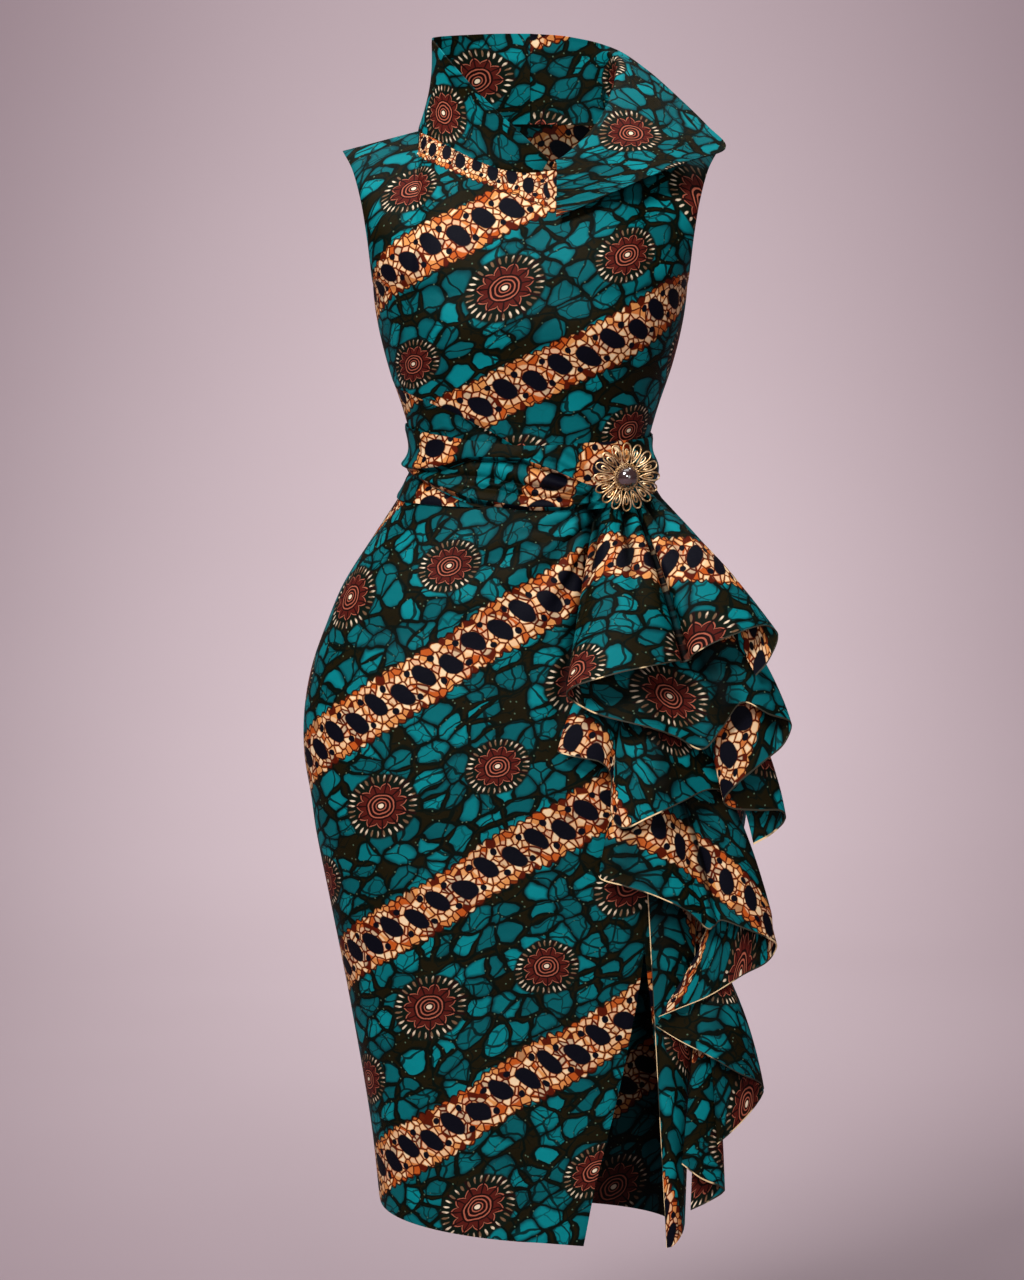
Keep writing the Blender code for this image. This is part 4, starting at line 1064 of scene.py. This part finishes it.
def petal_loop(curve, turn, low, high, wide, rise):
    """One teardrop loop of wire between two radii, narrow at its foot."""
    line = curve.splines.new("POLY")
    count = 22
    line.points.add(count - 1)
    for point, t in zip(line.points, np.linspace(0, 2 * math.pi, count, endpoint=False)):
        share = (1 - math.cos(t)) / 2
        radius = low + (high - low) * share
        aside = wide / 2 * math.sin(t) * (0.35 + 0.65 * share)
        x = radius * math.cos(turn) - aside * math.sin(turn)
        y = radius * math.sin(turn) + aside * math.cos(turn)
        point.co = (x * MM, y * MM, (rise + 1.2 * math.sin(math.pi * share)) * MM, 1)
    line.use_cyclic_u = True


wires = bpy.data.curves.new("brooch_wires", "CURVE")
wires.dimensions = "3D"
wires.bevel_depth = BROOCH["wire"] * MM
wires.bevel_resolution = 2
for k in range(BROOCH["petals"]):
    petal_turn = 2 * math.pi * k / BROOCH["petals"]
    petal_loop(wires, petal_turn, rise=WAVE * (-1) ** k, **OUTER_LOOP)
    petal_loop(wires, petal_turn, **INNER_LOOP)
flower = new_object("brooch_gold_flower", wires)
pick(flower)
bpy.ops.object.convert(target="MESH")
parts = [flower]
bpy.ops.mesh.primitive_torus_add(
    major_radius=(BROOCH["pearl"] + 0.3) * MM, minor_radius=0.9 * MM, major_segments=48, minor_segments=10,
)
parts.append(bpy.context.object)
for k in range(BROOCH["beads"]):
    bead_turn, ring = 2 * math.pi * k / BROOCH["beads"], BROOCH["bead_ring"] * MM
    bpy.ops.mesh.primitive_uv_sphere_add(
        segments=10, ring_count=6, radius=1.0 * MM,
        location=(ring * math.cos(bead_turn), ring * math.sin(bead_turn), 0.6 * MM),
    )
    parts.append(bpy.context.object)
bpy.ops.mesh.primitive_cylinder_add(
    vertices=32, radius=BROOCH["boss"] * MM, depth=BROOCH["boss_long"] * MM,
    location=(0, 0, -BROOCH["boss_long"] / 2 * MM),
)
parts.append(bpy.context.object)
pick(*parts)
bpy.ops.object.transform_apply(location=True, rotation=True, scale=True)
bpy.ops.object.join()
flower.data.transform(BROOCH_STAND)
flower.data.materials.clear()
flower.data.materials.append(old_gold)
finished(flower, "brooch_flower", 40)

brown_glass, glass_shader = material("brown_glass_pearl")
cloud = noise(object_place(glass_shader), 160.0, 3.0, "3D")
connect(glass_shader, {
    "Base Color": over(paint(30, 11, 9), (cloud, paint(62, 26, 20))), "Roughness": 0.2,
    "Coat Weight": 1.0, "Coat IOR": 2.3, "Coat Roughness": 0.14,
})
bpy.ops.mesh.primitive_uv_sphere_add(segments=48, ring_count=32, radius=PEARL)
pearl = bpy.context.object
pearl.name = "brooch_brown_pearl"
bpy.ops.object.mode_set(mode="EDIT")
bpy.ops.mesh.select_all(action="SELECT")
bpy.ops.mesh.bisect(plane_co=(0, 0, 1.0 * MM), plane_no=(0, 0, 1), use_fill=True, clear_inner=True)
bpy.ops.object.mode_set(mode="OBJECT")
pearl.data.transform(BROOCH_STAND)
pearl.data.materials.append(brown_glass)
finished(pearl, "brooch_pearl", 40)


# The studio: a seamless pale lilac-grey sheet that curves from the floor up to a wall, soft boxes, and the
# camera. Only the sheet's near side shows, so that it hides nothing when the dress is looked at from behind.

PAPER = dict(floor=-1.3, half_width=12.0, front=-7.0, flat_until=3.0, bend=2.0, top=9.0)
sweep = [(PAPER["front"], 0.0), (PAPER["flat_until"], 0.0)]
for t in np.linspace(0, math.pi / 2, 17)[1:]:
    sweep.append((PAPER["flat_until"] + PAPER["bend"] * math.sin(t), PAPER["bend"] * (1 - math.cos(t))))
sweep.append((PAPER["flat_until"] + PAPER["bend"], PAPER["top"]))
paper = bpy.data.meshes.new("studio_paper")
ends = (-PAPER["half_width"], PAPER["half_width"])
paper_points = [(x, y, PAPER["floor"] + z) for y, z in sweep for x in ends]
paper.from_pydata(paper_points, [], [(2 * i, 2 * i + 1, 2 * i + 3, 2 * i + 2) for i in range(len(sweep) - 1)])
studio = new_object("studio_paper", paper)
paper.shade_smooth()
paper_with_painted_falloff, paper_shader = material("studio_paper")
paper_place = object_place(paper_shader)
# Painted shade: the sheet darkens away from the middle of the view, a painted falloff of the light towards
# its edges
paper_rise = vectors("DOT_PRODUCT", paper_place, {1: (0, 1.0, 0.8)}, output=1)
painted_falloff_reach = hypotenuse(split(paper_place)[0] / 0.95, (paper_rise - 2.75) / 2.9)
lilac = over(
    paint(198, 178, 184), (noise(paper_place, 0.9, 3.0, "3D"), paint(212, 194, 200)),
    (ease(painted_falloff_reach, 0.1, 1.5), paint(134, 116, 123)),
)
connect(paper_shader, {"Base Color": lilac, "Roughness": 0.9})
paper_tree = paper_place.tree
faces_away = add(paper_tree, "NewGeometry", {}, output="Backfacing")
unseen = add(paper_tree, "BsdfTransparent", {})
one_sided = add(paper_tree, "MixShader", {0: faces_away, 1: Wire(paper_shader.outputs[0]), 2: unseen})
connect(paper_tree.nodes["Material Output"], {"Surface": one_sided})
paper.materials.append(paper_with_painted_falloff)


def soft_box(name, place, size, power, target=(0.0, 0.0, -0.5)):
    lamp = bpy.data.lights.new(name, "AREA")
    lamp.shape = "RECTANGLE"
    lamp.size, lamp.size_y = size
    lamp.energy = power
    made = new_object(name, lamp)
    made.location = place
    made.rotation_euler = (Vector(target) - Vector(place)).to_track_quat("-Z", "Y").to_euler()


soft_box("key", (-1.7, -3.6, 2.9), (1.2, 1.2), 300)
soft_box("fill", (2.6, -4.6, 0.2), (1.6, 2.2), 22)
soft_box("top", (0.0, -0.8, 3.2), (2.4, 1.6), 25)
soft_box("glint", (0.5, -5.0, 0.9), (0.5, 0.5), 34)
soft_box("wall", (0.0, 1.6, 4.5), (5.0, 1.5), 235, target=(0, 4.2, -0.6))
world = bpy.data.worlds.new("studio_air")
world.use_nodes = True
connect(world.node_tree.nodes["Background"], {"Color": (0.86, 0.84, 0.88, 1), "Strength": 0.13})
bpy.context.scene.world = world
bpy.context.scene.view_settings.view_transform = "Standard"

CAMERA = dict(away=6.0, rise=7.0, aim=(-0.01728, 0.0, -0.469), tall_px=1280, mm_per_px=0.96, sensor=36.0)
lens = bpy.data.cameras.new("camera")
lens.sensor_width = CAMERA["sensor"]
lens.lens = CAMERA["sensor"] * CAMERA["away"] / (CAMERA["tall_px"] * CAMERA["mm_per_px"] * MM)
camera = new_object("camera", lens)
rise = math.radians(CAMERA["rise"])
aim = Vector(CAMERA["aim"])
camera.location = aim + Vector((0, -math.cos(rise), math.sin(rise))) * CAMERA["away"]
camera.rotation_euler = (aim - camera.location).to_track_quat("-Z", "Y").to_euler()
bpy.context.scene.camera = camera
